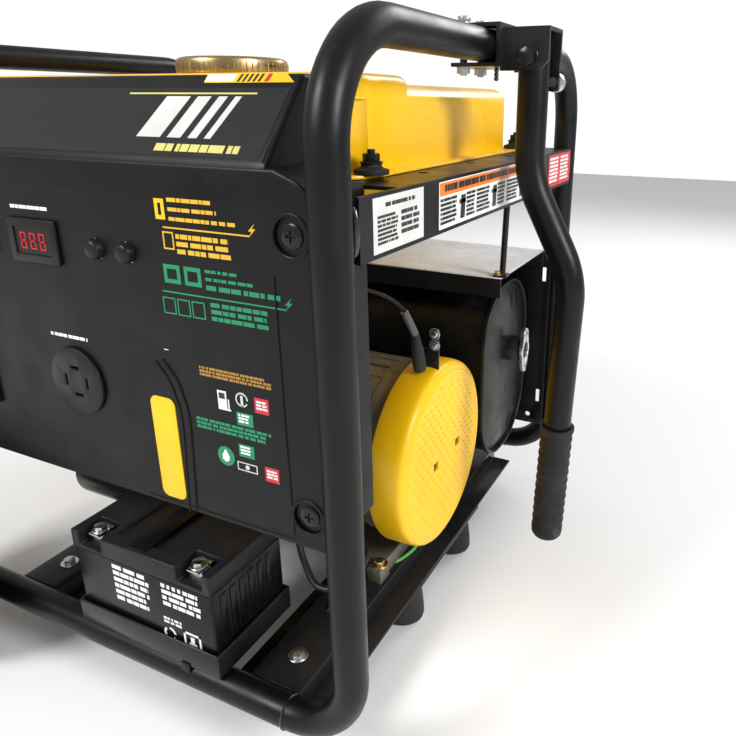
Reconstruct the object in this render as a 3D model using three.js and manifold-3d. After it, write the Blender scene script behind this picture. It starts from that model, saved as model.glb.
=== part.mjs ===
// Portable open-frame generator set, in millimetres, +Z up.
// Origin: middle of the footprint at ground level. +X points to the alternator and handle end,
// +Y to the muffler side, and the control panel faces -Y.
import * as THREE from 'three';
import { mergeVertices } from 'three/addons/utils/BufferGeometryUtils.js';
import Module from 'manifold-3d';

const wasm = await Module();
wasm.setup();

// ---------------------------------------------------------------- driving dimensions
const GAP = 0.3; // clearance between pieces that touch
const RUNNING = 0.4; // radial clearance of a shaft in its hole
const SHEET = 2.5; // thickness of folded steel
const ROUND = 24; // sides of a round piece
const SMALL_ROUND = 12; // sides of a small round piece
const HEX = 6;
const WELD = 0.6; // depth that a welded plate sinks into a tube

// tube frame
const FRAME_LENGTH = 550; // between the planes of the two end hoops
const FRAME_DEPTH = 498; // between post centre lines
const FRAME_HEIGHT = 489; // bottom rail to top bar centre lines
const TUBE_R = 12.7;
const TOP_BEND = 68;
const FOOT_BEND = 58;
const RAIL_Z = 56; // rail centre line above the ground

// tank-support crossmembers, an angle section welded between the posts
const CROSS_TOP = 395.5; // its top face above the rail centre line
const CROSS_DROP = 39;
const CROSS_FLANGE = 58;
const CROSS_OUTSET = 11; // outer face beyond the hoop's plane

// engine channels, a hat section between the rails
const HAT_TOP_WIDTH = 47;
const HAT_FLANGE = 22;
const HAT_RISE = 5; // its top face above the rail centre line
const HAT_DROP = 13; // its flanges' underside below the rail centre line
const RIGHT_HAT_IN = 81.5; // channel centre line, inward from the right hoop
const LEFT_HAT_IN = 360;
const FLANGE_SETBACK = 32; // the flanges stop this far short of the rear rail

// feet
const FOOT_R = 21;
const FOOT_NECK_R = 17;
const FOOT_IN = 57; // foot centre, inward from the right hoop
const FOOT_SPREAD = 62; // each side of the middle plane
const FOOT_PLATE_HALF = 90;
const FOOT_PLATE_WIDTH = 92;

// wheels
const WHEEL_R = 101.5;
const WHEEL_WIDTH = 44;
const RIM_R = 68;
const HUB_R = 17;
const WHEEL_IN = 458; // wheel centre, inward from the right hoop
const BRACKET_PLATE = 4;
const BRACKET_HALF = 28;
const WHEEL_SIDE_GAP = 5;
const AXLE_R = 6;
const AXLE_HEAD_R = 10;
const AXLE_HEAD = 6;
const AXLE_CAP = 5;

// folding handle
const PIVOT_OUT = 35.5; // pivot beyond the right hoop's plane
const PIVOT_DROP = 9; // pivot below the top bar's centre line
const HANDLE_R = 12.7;
const HANDLE_STUB = 10; // tube above the pivot
const HANDLE_KNEE_DROP = 94; // first bend below the pivot
const HANDLE_ELBOW_DROP = 178; // second bend below the pivot
const HANDLE_STEP = 43.5; // outward step between the two bends
const HANDLE_LENGTH = 441; // pivot to the grip's end
const HANDLE_LEAN = 8; // the lower run leans back in by this much
const HANDLE_BEND = 90;
const GRIP_R = 16;
const GRIP_LENGTH = 121;
const BOX_DEPTH = 38; // pivot box, outside to outside
const BOX_REACH = 52.5;
const BOX_PLATE = 3;
const BOX_ABOVE = 13; // top of the box above the top bar's centre line
const BOX_BELOW = 19;
const SADDLE_REACH = 25;
const SADDLE_BOLT_IN = 18.5; // its two bolts, inward from the hoop
const SADDLE_BOLT_GAP = 38; // between them
const SADDLE_BOLT_R = 3;
const SADDLE_HEAD_R = 5.6; // across the corners of a head or nut
const SADDLE_HEAD = 6.5;
const SADDLE_HALF = 30;
const PIVOT_R = 5;
const PIVOT_HEAD_R = 9;
const PIVOT_HEAD = 5;
const LOCK_OUT = 47;
const LOCK_DROP = 27; // lock pin below the top bar's centre line
const LOCK_R = 4;
const LOCK_KNOB_R = 8;
const LOCK_EAR = 7; // tab round the lock pin's hole
const BOX_CHAMFER = 7;

// battery
const BATTERY_LENGTH = 150;
const BATTERY_DEPTH = 87;
const BATTERY_HEIGHT = 91;
const BATTERY_IN = 119; // right end of the battery, inward from the right hoop
const BATTERY_FRONT = -7; // its front face from the front posts' centre line
const TRAY_LIP = 22;
const TRAY_WALL = 2;
const LEAD_R = 3;

// fuel tank
const TANK_IN = 42; // tank's right side, inward from the right hoop
const TANK_LENGTH = 466;
const TANK_FRONT = 88; // from the front posts' centre line
const TANK_DEPTH = 342;
const TANK_RISE = 69.5; // above its flange
const TANK_SUMP = 24; // below its flange
const TANK_FLANGE = 14;
const TANK_STEP = 6; // the front part stands this much higher
const TANK_STEP_DEPTH = 88;
const TANK_CORNER = 32;
const CAP_R = 44;
const CAP_HEIGHT = 22;
const CAP_IN = 190;
const CAP_BACK = 152; // cap centre from the front posts' centre line
const NECK_R = 30;
const INSERT_R = 24;

// control panel
const PANEL_CLEAR = 0.8; // from the right posts
const PANEL_IN = TUBE_R + PANEL_CLEAR;
const PANEL_LENGTH = 412.5;
const PANEL_BOTTOM = 158; // above the rail centre line
const PANEL_BREAK = 410; // the sloped top starts here
const PANEL_TOP = 462;
const PANEL_FRONT = 0; // from the front posts' centre line
const PANEL_DEPTH = 62;
const HOOD_DEPTH = 80;
const HOOD_LEAN = 42;
const HOOD_INSET = 28.5; // the hood's ends stand in from the panel's ends
const PANEL_WALL = 3;
const FACE_PROUD = 3; // sockets and buttons stand this far out of the panel
const METER_SIZE = [50, 32];
const DUPLEX_SIZE = [44, 76];
const LOCKING_R = 27;
const SELECTOR_R = 19;
const BREAKER_R = 7;
const BUTTON_PROUD = 6; // breaker button in front of the panel's face
const BUTTON_STEM = 14; // and behind it
const ROCKER_SIZE = [30, 20];
const PANEL_HIGH_ROW = 350; // rows of fittings above the rail centre line
const PANEL_LOW_ROW = 245;

// alternator, on the crank's axis
const SHAFT_Y = -26;
const SHAFT_Z = 119.5; // above the rail centre line
const COVER_IN = 27;
const COVER_DEPTH = 34;
const HOUSING_R = 86;
const COVER_OVER = 6.5; // the cover's edge stands this far outside the housing
const COVER_R = HOUSING_R + COVER_OVER;
const HOUSING_SHELL = 9;
const HOUSING_BORE = HOUSING_R - HOUSING_SHELL;
const HOUSING_LENGTH = 190;
const HOUSING_WALL = 6;
const STATOR_BORE = 58.5;
const STATOR_LENGTH = 100;
const ROTOR_R = 57.5;
const ROTOR_LENGTH = 104;
const SHAFT_R = 12.5;

// engine
const CASE_LENGTH = 160;
const CHAMBER_R = 60;
const CHAMBER_WALL = 14;
const CRANK_THROW = 26;
const CRANK_WEB_R = 34;
const CRANK_WEB = 10;
const CRANK_PIN_R = 7;
const CRANK_PIN_LENGTH = 26;
const CASE_HALF = 82;
const CASE_BELOW = 103; // sump below the crank's axis
const CASE_ABOVE = 70;
const CYLINDER_TILT = THREE.MathUtils.degToRad(25);
const CYLINDER_R = 52;
const CYLINDER_TOP = 138; // barrel's end from the crank's axis
const BORE_R = 35;
const STROKE = 55;
const PISTON_LENGTH = 44;
const HEAD_LENGTH = 46;
const HEAD_HALF = 55;
const VALVE_COVER_LENGTH = 24;
const BLOWER_R = 108;
const BLOWER_DEPTH = 58;
const RECOIL_R = 84;
const RECOIL_DEPTH = 38;
const FLYWHEEL_R = 92;
const FLYWHEEL_WIDTH = 34;
const PULLEY_R = 45;
const PULLEY_WIDTH = 14;
const ROPE_R = 2;
const RECOIL_GRIP_LENGTH = 96;
const RECOIL_GRIP_R = 9;
const RECOIL_GRIP_STEM = 16;
const PULL_TILT = 15; // degrees that the rope leaves above the level
const STARTER_R = 30;
const STARTER_LENGTH = 86;

// exhaust
const MUFFLER_IN = 25;
const MUFFLER_LENGTH = 190;
const MUFFLER_DEPTH = 147;
const MUFFLER_HEIGHT = 209;
const MUFFLER_BACK = 392; // drum's axis from the front posts' centre line
const MUFFLER_Z = 149.5; // above the rail centre line
const SHIELD_Z = 275;
const SHIELD_LIP = 22;
const SHIELD_IN = 12;
const SHIELD_LENGTH = 214;
const GUARD_BOTTOM = 39;
const GUARD_BACK = 478;

// --------------------------------------------------------- places worked out from them
const HANDLE_REACH = PIVOT_OUT + HANDLE_STEP + HANDLE_R;
const RIGHT = (FRAME_LENGTH + TUBE_R - HANDLE_REACH) / 2; // plane of the right hoop
const LEFT = RIGHT - FRAME_LENGTH;
const FRONT = -FRAME_DEPTH / 2;
const BACK = FRAME_DEPTH / 2;
const TOP_Z = RAIL_Z + FRAME_HEIGHT;
const AXIS_Z = RAIL_Z + SHAFT_Z;
const CROSS_Z = RAIL_Z + CROSS_TOP;

// ------------------------------------------------------------------------ shape helpers
// A closed three.js geometry as a solid that can be joined and cut.
function solid(geometry) {
  geometry.deleteAttribute('normal');
  geometry.deleteAttribute('uv');
  const merged = mergeVertices(geometry, 1e-4);
  const corners = merged.index.array;
  const whole = [];
  for (let i = 0; i < corners.length; i += 3) {
    const [a, b, c] = corners.slice(i, i + 3);
    if (a !== b && b !== c && c !== a) whole.push(a, b, c);
  }
  const vertProperties = new Float32Array(merged.attributes.position.array);
  const mesh = new wasm.Mesh({ numProp: 3, vertProperties, triVerts: new Uint32Array(whole) });
  return new wasm.Manifold(mesh);
}

function geometryOf(body) {
  const mesh = body.getMesh();
  const geometry = new THREE.BufferGeometry();
  geometry.setAttribute('position', new THREE.Float32BufferAttribute(mesh.vertProperties, 3));
  geometry.setIndex(Array.from(mesh.triVerts));
  geometry.computeVertexNormals();
  return geometry;
}

const joined = (...bodies) => bodies.reduce((whole, body) => whole.add(body));
const cut = (body, ...tools) => tools.reduce((rest, tool) => rest.subtract(tool), body);

function block([x0, x1], [y0, y1], [z0, z1]) {
  const geometry = new THREE.BoxGeometry(x1 - x0, y1 - y0, z1 - z0);
  geometry.translate((x0 + x1) / 2, (y0 + y1) / 2, (z0 + z1) / 2);
  return solid(geometry);
}

// A round bar, or a cone, from one point to another.
function bar(from, to, radius, sides = ROUND, endRadius = radius) {
  const start = new THREE.Vector3(...from);
  const run = new THREE.Vector3(...to).sub(start);
  const geometry = new THREE.CylinderGeometry(endRadius, radius, run.length(), sides);
  geometry.translate(0, run.length() / 2, 0);
  const turn = new THREE.Quaternion();
  turn.setFromUnitVectors(new THREE.Vector3(0, 1, 0), run.clone().normalize());
  geometry.applyQuaternion(turn);
  geometry.translate(start.x, start.y, start.z);
  return solid(geometry);
}

// An outline in the plane across an axis, pushed along that axis.
// The outline's coordinates are (y, z) for x, (x, z) for y and (x, y) for z.
const OUTLINE_FRAMES = {
  x: new THREE.Matrix4().set(0, 0, 1, 0, 1, 0, 0, 0, 0, 1, 0, 0, 0, 0, 0, 1),
  y: new THREE.Matrix4().set(1, 0, 0, 0, 0, 0, -1, 0, 0, 1, 0, 0, 0, 0, 0, 1),
  z: new THREE.Matrix4(),
};

function prism(axis, shape, from, to) {
  const outline = Array.isArray(shape) ? new THREE.Shape(shape.map((p) => new THREE.Vector2(...p))) : shape;
  const options = { depth: to - from, bevelEnabled: false, curveSegments: 4 };
  const geometry = new THREE.ExtrudeGeometry(outline, options);
  geometry.translate(0, 0, axis === 'y' ? -to : from);
  geometry.applyMatrix4(OUTLINE_FRAMES[axis]);
  return solid(geometry);
}

function roundedRectangle([u0, u1], [v0, v1], radius) {
  const shape = new THREE.Shape();
  shape.moveTo(u0 + radius, v0);
  shape.lineTo(u1 - radius, v0);
  shape.absarc(u1 - radius, v0 + radius, radius, -Math.PI / 2, 0, false);
  shape.lineTo(u1, v1 - radius);
  shape.absarc(u1 - radius, v1 - radius, radius, 0, Math.PI / 2, false);
  shape.lineTo(u0 + radius, v1);
  shape.absarc(u0 + radius, v1 - radius, radius, Math.PI / 2, Math.PI, false);
  shape.lineTo(u0, v0 + radius);
  shape.absarc(u0 + radius, v0 + radius, radius, Math.PI, Math.PI * 1.5, false);
  return shape;
}

// A turned piece: the profile is a list of [radius, distance along the axis].
function turned(profile, origin, direction, sides = ROUND) {
  const points = profile.map(([r, along]) => new THREE.Vector2(r, along));
  const geometry = new THREE.LatheGeometry(points, sides);
  const turn = new THREE.Quaternion();
  turn.setFromUnitVectors(new THREE.Vector3(0, 1, 0), new THREE.Vector3(...direction).normalize());
  geometry.applyQuaternion(turn);
  geometry.translate(...origin);
  return solid(geometry);
}

// A ring profile closes on itself.
const ringProfile = (inner, outer, from, to) => [
  [inner, from], [outer, from], [outer, to], [inner, to], [inner, from],
];

// A path whose rings stand exactly at the listed points.
class Route extends THREE.Curve {
  constructor(points) {
    super();
    this.points = points.map((p) => new THREE.Vector3(...p));
  }

  getPoint(t, target = new THREE.Vector3()) {
    const place = t * (this.points.length - 1);
    const i = Math.min(Math.floor(place), this.points.length - 2);
    return target.lerpVectors(this.points[i], this.points[i + 1], place - i);
  }

  getPointAt(u, target) {
    return this.getPoint(u, target);
  }

  getTangentAt(u, target = new THREE.Vector3()) {
    const i = Math.round(u * (this.points.length - 1));
    const before = this.points[Math.max(i - 1, 0)];
    const after = this.points[Math.min(i + 1, this.points.length - 1)];
    return target.subVectors(after, before).normalize();
  }
}

function tube(points, radius, sides = 16) {
  const section = new THREE.Shape();
  section.absarc(0, 0, radius, 0, Math.PI * 2, false);
  const ring = section.getPoints(sides / 2).slice(0, -1);
  const outline = new THREE.Shape(ring);
  const options = { steps: points.length - 1, extrudePath: new Route(points), bevelEnabled: false };
  return solid(new THREE.ExtrudeGeometry(outline, options));
}

// Corner points rounded off with arcs of a given radius.
function rounded(corners, radius, steps = 6) {
  const points = [corners[0]];
  for (let i = 1; i < corners.length - 1; i += 1) {
    const corner = new THREE.Vector3(...corners[i]);
    const back = new THREE.Vector3(...corners[i - 1]).sub(corner).normalize();
    const ahead = new THREE.Vector3(...corners[i + 1]).sub(corner).normalize();
    const half = back.angleTo(ahead) / 2;
    const reach = radius / Math.tan(half);
    const centre = back.clone().add(ahead).normalize().multiplyScalar(radius / Math.sin(half)).add(corner);
    const first = back.clone().multiplyScalar(reach).add(corner).sub(centre);
    const last = ahead.clone().multiplyScalar(reach).add(corner).sub(centre);
    const sweep = first.angleTo(last);
    for (let s = 0; s <= steps; s += 1) {
      const t = s / steps;
      const a = Math.sin((1 - t) * sweep) / Math.sin(sweep);
      const b = Math.sin(t * sweep) / Math.sin(sweep);
      points.push(first.clone().multiplyScalar(a).addScaledVector(last, b).add(centre).toArray());
    }
  }
  points.push(corners.at(-1));
  return points;
}

// ----------------------------------------------------------------------------- materials
const finish = (color, roughness, metalness = 0) =>
  new THREE.MeshStandardMaterial({ color, roughness, metalness });

const satinBlack = finish(0x1b1b1d, 0.45, 0.3);
const rubber = finish(0x141414, 0.85);
const yellowPaint = finish(0xffc20a, 0.25, 0.1);
const blackPlastic = finish(0x242427, 0.6);
const panelPlastic = finish(0x2d2e31, 0.55);
const castAluminium = finish(0x8b8a80, 0.5, 0.8);
const steel = finish(0xb9bbbd, 0.3, 0.9);
const zinc = finish(0xc9ccd0, 0.35, 0.9);
const copper = finish(0xa8622c, 0.4, 0.8);
const shieldMetal = finish(0xc4c5c8, 0.35, 0.8);
const castIron = finish(0x3a3a3c, 0.6, 0.7);
const brassCap = finish(0xb08d4a, 0.3, 0.9);
const redPlastic = finish(0xb8221c, 0.4);

const generator = new THREE.Group();

function place(name, body, material) {
  const mesh = new THREE.Mesh(geometryOf(body), material);
  mesh.name = name;
  generator.add(mesh);
}

// --------------------------------------------------------------------------------- frame
function hoop(plane, inward) {
  const inner = plane + inward * FOOT_BEND;
  const lower = [
    [inner, FRONT, RAIL_Z],
    [plane, FRONT, RAIL_Z],
    [plane, FRONT, RAIL_Z + FOOT_BEND],
  ];
  const upper = [
    [plane, FRONT, RAIL_Z + FOOT_BEND],
    [plane, FRONT, TOP_Z],
    [plane, BACK, TOP_Z],
    [plane, BACK, RAIL_Z + FOOT_BEND],
  ];
  const rear = lower.map(([x, , z]) => [x, BACK, z]).reverse();
  const firstFoot = rounded(lower, FOOT_BEND - 1);
  const lastFoot = rounded(rear, FOOT_BEND - 1);
  const arch = rounded(upper, TOP_BEND);
  return tube([...firstFoot.slice(0, -1), ...arch.slice(1, -1), ...lastFoot.slice(1)], TUBE_R);
}

const WHEEL_X = RIGHT - WHEEL_IN;
const PLATE_OUTER = TUBE_R + BRACKET_PLATE - WELD; // bracket's outer face from the rail's axis

// A bottom rail with the wheel bracket welded to its outer side; side is -1 in front and 1 behind.
function rail(side) {
  const y = side * BACK;
  const tubeRun = bar(
    [LEFT + FOOT_BEND + GAP, y, RAIL_Z],
    [RIGHT - FOOT_BEND - GAP, y, RAIL_Z],
    TUBE_R,
    16,
  );
  const outer = y + side * PLATE_OUTER;
  const inner = outer - side * BRACKET_PLATE;
  const plateTop = WHEEL_R + BRACKET_HALF * 0.7;
  const outline = [
    [WHEEL_X - BRACKET_HALF, RAIL_Z - TUBE_R * 0.8],
    [WHEEL_X + BRACKET_HALF, RAIL_Z - TUBE_R * 0.8],
    [WHEEL_X + BRACKET_HALF, WHEEL_R],
    [WHEEL_X + BRACKET_HALF * 0.5, plateTop],
    [WHEEL_X - BRACKET_HALF * 0.5, plateTop],
    [WHEEL_X - BRACKET_HALF, WHEEL_R],
  ];
  const plate = prism('y', outline, Math.min(inner, outer), Math.max(inner, outer));
  const reach = side * AXLE_HEAD;
  const hole = bar([WHEEL_X, inner - reach, WHEEL_R], [WHEEL_X, outer + reach, WHEEL_R], AXLE_R + GAP);
  return cut(joined(tubeRun, plate), hole);
}

const ordered = (a, b) => [Math.min(a, b), Math.max(a, b)];

// Angle-section support for the tank: an outer drop and a flange that points inwards.
// The flange starts behind the control panel, so that it clears the panel's end.
function crossmember(plane, inward) {
  const outer = plane - inward * CROSS_OUTSET;
  const drop = outer + inward * SHEET;
  const tip = outer + inward * CROSS_FLANGE;
  const half = BACK - TUBE_R - GAP;
  const flangeStart = FRONT + PANEL_FRONT + PANEL_DEPTH + 3;
  const upright = block(ordered(outer, drop), [-half, half], [CROSS_Z - CROSS_DROP, CROSS_Z]);
  const flange = block(ordered(outer, tip), [flangeStart, half], [CROSS_Z - SHEET, CROSS_Z]);
  return joined(upright, flange);
}

// Hat-section channel that carries the engine, open underneath.
function hatChannel(centre) {
  const top = RAIL_Z + HAT_RISE;
  const low = RAIL_Z - HAT_DROP;
  const wall = HAT_TOP_WIDTH / 2;
  const edge = wall + HAT_FLANGE;
  const outline = [
    [-edge, low],
    [-wall + SHEET, low],
    [-wall + SHEET, top - SHEET],
    [wall - SHEET, top - SHEET],
    [wall - SHEET, low],
    [edge, low],
    [edge, low + SHEET],
    [wall, low + SHEET],
    [wall, top],
    [-wall, top],
    [-wall, low + SHEET],
    [-edge, low + SHEET],
  ].map(([x, z]) => [centre + x, z]);
  const start = FRONT + TUBE_R + GAP;
  const end = BACK - TUBE_R - GAP;
  const setback = BACK - FLANGE_SETBACK - TUBE_R;
  const channel = prism('y', outline, start, setback);
  const tongue = block([centre - wall, centre + wall], [setback - 1, end], [top - SHEET, top]);
  return joined(channel, tongue);
}

const FOOT_X = RIGHT - FOOT_IN;
const FOOT_TOP = RAIL_Z - HAT_DROP - SHEET;

function rightChannel() {
  const centre = RIGHT - RIGHT_HAT_IN;
  const half = FOOT_PLATE_WIDTH / 2;
  const plate = block(
    [centre - half, centre + half],
    [-FOOT_PLATE_HALF, FOOT_PLATE_HALF],
    [FOOT_TOP, FOOT_TOP + SHEET],
  );
  return joined(hatChannel(centre), plate);
}

const foot = (y) => bar([FOOT_X, y, 0], [FOOT_X, y, FOOT_TOP - GAP], FOOT_R, ROUND, FOOT_NECK_R);

place('right_hoop', hoop(RIGHT, -1), satinBlack);
place('left_hoop', hoop(LEFT, 1), satinBlack);
place('front_rail', rail(-1), satinBlack);
place('rear_rail', rail(1), satinBlack);
place('right_crossmember', crossmember(RIGHT, -1), satinBlack);
place('left_crossmember', crossmember(LEFT, 1), satinBlack);
place('right_channel', rightChannel(), satinBlack);
place('left_channel', hatChannel(RIGHT - LEFT_HAT_IN), satinBlack);
place('front_foot', foot(-FOOT_SPREAD), rubber);
place('rear_foot', foot(FOOT_SPREAD), rubber);

// -------------------------------------------------------------------------------- wheels
// Each wheel runs on its own shouldered axle; side is -1 in front and 1 behind.
function axle(side) {
  const plate = side * (BACK + PLATE_OUTER);
  const tip = plate + side * (WHEEL_SIDE_GAP + WHEEL_WIDTH + GAP);
  const headFace = plate - side * (BRACKET_PLATE + GAP);
  const shaft = bar([WHEEL_X, headFace, WHEEL_R], [WHEEL_X, tip + side, WHEEL_R], AXLE_R);
  const headEnd = headFace - side * AXLE_HEAD;
  const head = bar([WHEEL_X, headFace, WHEEL_R], [WHEEL_X, headEnd, WHEEL_R], AXLE_HEAD_R, 6);
  const cap = bar([WHEEL_X, tip, WHEEL_R], [WHEEL_X, tip + side * AXLE_CAP, WHEEL_R], AXLE_HEAD_R);
  return joined(shaft, head, cap);
}

function wheelStart(side) {
  return [WHEEL_X, side * (BACK + PLATE_OUTER + WHEEL_SIDE_GAP), WHEEL_R];
}

function tyre(side) {
  const shoulder = WHEEL_WIDTH * 0.22;
  const profile = [
    [RIM_R + GAP, 3],
    [WHEEL_R - 14, 0],
    [WHEEL_R - 3, shoulder / 2],
    [WHEEL_R, shoulder * 1.4],
    [WHEEL_R, WHEEL_WIDTH - shoulder * 1.4],
    [WHEEL_R - 3, WHEEL_WIDTH - shoulder / 2],
    [WHEEL_R - 14, WHEEL_WIDTH],
    [RIM_R + GAP, WHEEL_WIDTH - 3],
    [RIM_R + GAP, 3],
  ];
  return turned(profile, wheelStart(side), [0, side, 0], 36);
}

function wheelHub(side) {
  const web = WHEEL_WIDTH / 2;
  const bore = AXLE_R + RUNNING;
  const profile = [
    [bore, 0],
    [HUB_R, 0],
    [HUB_R, web - 4],
    [RIM_R - 6, web - 4],
    [RIM_R - 6, 5],
    [RIM_R, 5],
    [RIM_R, WHEEL_WIDTH - 5],
    [RIM_R - 6, WHEEL_WIDTH - 5],
    [RIM_R - 6, web + 4],
    [HUB_R, web + 4],
    [HUB_R, WHEEL_WIDTH],
    [bore, WHEEL_WIDTH],
    [bore, 0],
  ];
  return turned(profile, wheelStart(side), [0, side, 0], 36);
}

for (const [name, side] of [['front', -1], ['rear', 1]]) {
  place(`${name}_axle`, axle(side), zinc);
  place(`${name}_tyre`, tyre(side), rubber);
  place(`${name}_hub`, wheelHub(side), blackPlastic);
}

// -------------------------------------------------------------------------------- handle
const PIVOT_X = RIGHT + PIVOT_OUT;
const PIVOT_Z = TOP_Z - PIVOT_DROP;

// Saddle bolted on the top bar, with a box of two cheeks and a lid welded to it.
// One of the bolts through both saddle plates, with its head above and its nut below.
function saddleBolt(y) {
  const x = RIGHT - SADDLE_BOLT_IN;
  const face = TUBE_R + GAP + BOX_PLATE;
  const end = face + SADDLE_HEAD;
  const bury = BOX_PLATE / 2;
  const shank = bar([x, y, TOP_Z - end], [x, y, TOP_Z + end], SADDLE_BOLT_R, SMALL_ROUND);
  const head = bar([x, y, TOP_Z + face - bury], [x, y, TOP_Z + end], SADDLE_HEAD_R, HEX);
  const nut = bar([x, y, TOP_Z - end], [x, y, TOP_Z - face + bury], SADDLE_HEAD_R, HEX);
  return joined(shank, head, nut);
}

function handleBracket() {
  const face = RIGHT + TUBE_R + GAP;
  const back = face + BOX_PLATE;
  const tip = RIGHT + BOX_REACH;
  const half = BOX_DEPTH / 2;
  const inner = half - BOX_PLATE;
  const top = TOP_Z + BOX_ABOVE;
  const low = TOP_Z - BOX_BELOW;
  const wrap = TUBE_R + GAP;
  const width = [-SADDLE_HALF, SADDLE_HALF];
  const leaf = [RIGHT - SADDLE_REACH, back];
  const saddlePlate = block([face, back], width, [TOP_Z - wrap - BOX_PLATE, TOP_Z + wrap + BOX_PLATE]);
  const upper = block(leaf, width, [TOP_Z + wrap, TOP_Z + wrap + BOX_PLATE]);
  const lower = block(leaf, width, [TOP_Z - wrap - BOX_PLATE, TOP_Z - wrap]);
  const cheek = [
    [face, low],
    [tip - BOX_CHAMFER, low],
    [tip, low + BOX_CHAMFER],
    [tip, top],
    [face, top],
  ];
  const lockX = RIGHT + LOCK_OUT;
  const lockZ = TOP_Z - LOCK_DROP;
  const earEnd = tip - 0.5;
  const ear = [
    [lockX - LOCK_EAR, low + 1],
    [lockX - LOCK_EAR, lockZ - LOCK_EAR],
    [earEnd, lockZ - LOCK_EAR],
    [earEnd, low + BOX_CHAMFER + 1],
  ];
  const front = prism('y', cheek, -half, -inner);
  const rear = prism('y', cheek, inner, half);
  const tab = prism('y', ear, inner, half);
  const lid = block([face, tip], [-half, half], [top - BOX_PLATE, top]);
  const through = half + 1;
  const pivotHole = bar([PIVOT_X, -through, PIVOT_Z], [PIVOT_X, through, PIVOT_Z], PIVOT_R + GAP, SMALL_ROUND);
  const lockHole = bar([lockX, 0, lockZ], [lockX, through, lockZ], LOCK_R + RUNNING, SMALL_ROUND);
  const clamp = [-SADDLE_BOLT_GAP / 2, SADDLE_BOLT_GAP / 2].map(saddleBolt);
  return cut(joined(saddlePlate, upper, lower, front, rear, tab, lid, ...clamp), pivotHole, lockHole);
}

function pivotBolt() {
  const seat = BOX_DEPTH / 2 + GAP;
  const end = seat + PIVOT_HEAD;
  const shaft = bar([PIVOT_X, -seat - 1, PIVOT_Z], [PIVOT_X, seat + 1, PIVOT_Z], PIVOT_R, SMALL_ROUND);
  const head = bar([PIVOT_X, -seat, PIVOT_Z], [PIVOT_X, -end, PIVOT_Z], PIVOT_HEAD_R, 6);
  const nut = bar([PIVOT_X, seat, PIVOT_Z], [PIVOT_X, end, PIVOT_Z], PIVOT_HEAD_R, 6);
  return joined(shaft, head, nut);
}

// Centre line of the folded handle, from above the pivot down to the grip's end.
function handleLine(end) {
  const lowerRun = HANDLE_LENGTH - HANDLE_ELBOW_DROP;
  const share = (end - HANDLE_ELBOW_DROP) / lowerRun;
  const corners = [
    [PIVOT_X, 0, PIVOT_Z + HANDLE_STUB],
    [PIVOT_X, 0, PIVOT_Z - HANDLE_KNEE_DROP],
    [PIVOT_X + HANDLE_STEP, 0, PIVOT_Z - HANDLE_ELBOW_DROP],
    [PIVOT_X + HANDLE_STEP - HANDLE_LEAN * share, 0, PIVOT_Z - end],
  ];
  return rounded(corners, HANDLE_BEND, 5);
}

function handleTube() {
  const line = handleLine(HANDLE_LENGTH - 8);
  const side = HANDLE_R + 1;
  const hole = bar([PIVOT_X, -side, PIVOT_Z], [PIVOT_X, side, PIVOT_Z], PIVOT_R + RUNNING, SMALL_ROUND);
  return cut(tube(line, HANDLE_R), hole);
}

function handleGrip() {
  const share = (drop) => PIVOT_X + HANDLE_STEP
    - (HANDLE_LEAN * (drop - HANDLE_ELBOW_DROP)) / (HANDLE_LENGTH - HANDLE_ELBOW_DROP);
  const top = HANDLE_LENGTH - GRIP_LENGTH;
  const at = (drop) => [share(drop), 0, PIVOT_Z - drop];
  const collar = bar(at(top), at(top + 6), GRIP_R, ROUND);
  const body = bar(at(top + 5), at(HANDLE_LENGTH - 7), GRIP_R - 1, ROUND);
  const end = bar(at(HANDLE_LENGTH - 7), at(HANDLE_LENGTH), GRIP_R - 1, ROUND, GRIP_R - 6);
  const bore = bar(at(top - 5), at(HANDLE_LENGTH - 8 + GAP), HANDLE_R + GAP, ROUND);
  return cut(joined(collar, body, end), bore);
}

function lockPin() {
  const x = RIGHT + LOCK_OUT;
  const z = TOP_Z - LOCK_DROP;
  const seat = BOX_DEPTH / 2 + GAP;
  const pin = bar([x, HANDLE_R + 0.8, z], [x, seat + 2, z], LOCK_R, SMALL_ROUND);
  const knob = bar([x, seat, z], [x, seat + 12, z], LOCK_KNOB_R);
  return joined(pin, knob);
}

place('handle_bracket', handleBracket(), satinBlack);
place('pivot_bolt', pivotBolt(), zinc);
place('handle_tube', handleTube(), satinBlack);
place('handle_grip', handleGrip(), rubber);
place('lock_pin', lockPin(), zinc);

// ------------------------------------------------------------------------------- battery
const BATTERY_X = [RIGHT - BATTERY_IN - BATTERY_LENGTH, RIGHT - BATTERY_IN];
const BATTERY_Y = [FRONT + BATTERY_FRONT, FRONT + BATTERY_FRONT + BATTERY_DEPTH];
const TRAY_Z = RAIL_Z + TUBE_R + GAP;
const BATTERY_Z = [TRAY_Z + TRAY_WALL + GAP, TRAY_Z + TRAY_WALL + GAP + BATTERY_HEIGHT];

function grown([low, high], by) {
  return [low - by, high + by];
}

function batteryTray() {
  const around = (by, z) => block(grown(BATTERY_X, by), grown(BATTERY_Y, by), z);
  const outside = around(TRAY_WALL + GAP, [TRAY_Z, TRAY_Z + TRAY_LIP]);
  return cut(outside, around(GAP, [TRAY_Z + TRAY_WALL, TRAY_Z + TRAY_LIP + 1]));
}

// The case has a notch at each front corner for a terminal block.
function battery() {
  const [left, right] = BATTERY_X;
  const [front] = BATTERY_Y;
  const [, top] = BATTERY_Z;
  const notch = [26, 24, 15];
  const body = block(BATTERY_X, BATTERY_Y, BATTERY_Z);
  const y = [front - 1, front + notch[1]];
  const z = [top - notch[2], top + 1];
  const rightNotch = block([right - 8 - notch[0], right - 8], [front + 6, y[1]], z);
  const leftNotch = block([left + 8, left + 8 + notch[0]], [front + 6, y[1]], z);
  return cut(body, rightNotch, leftNotch);
}

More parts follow.
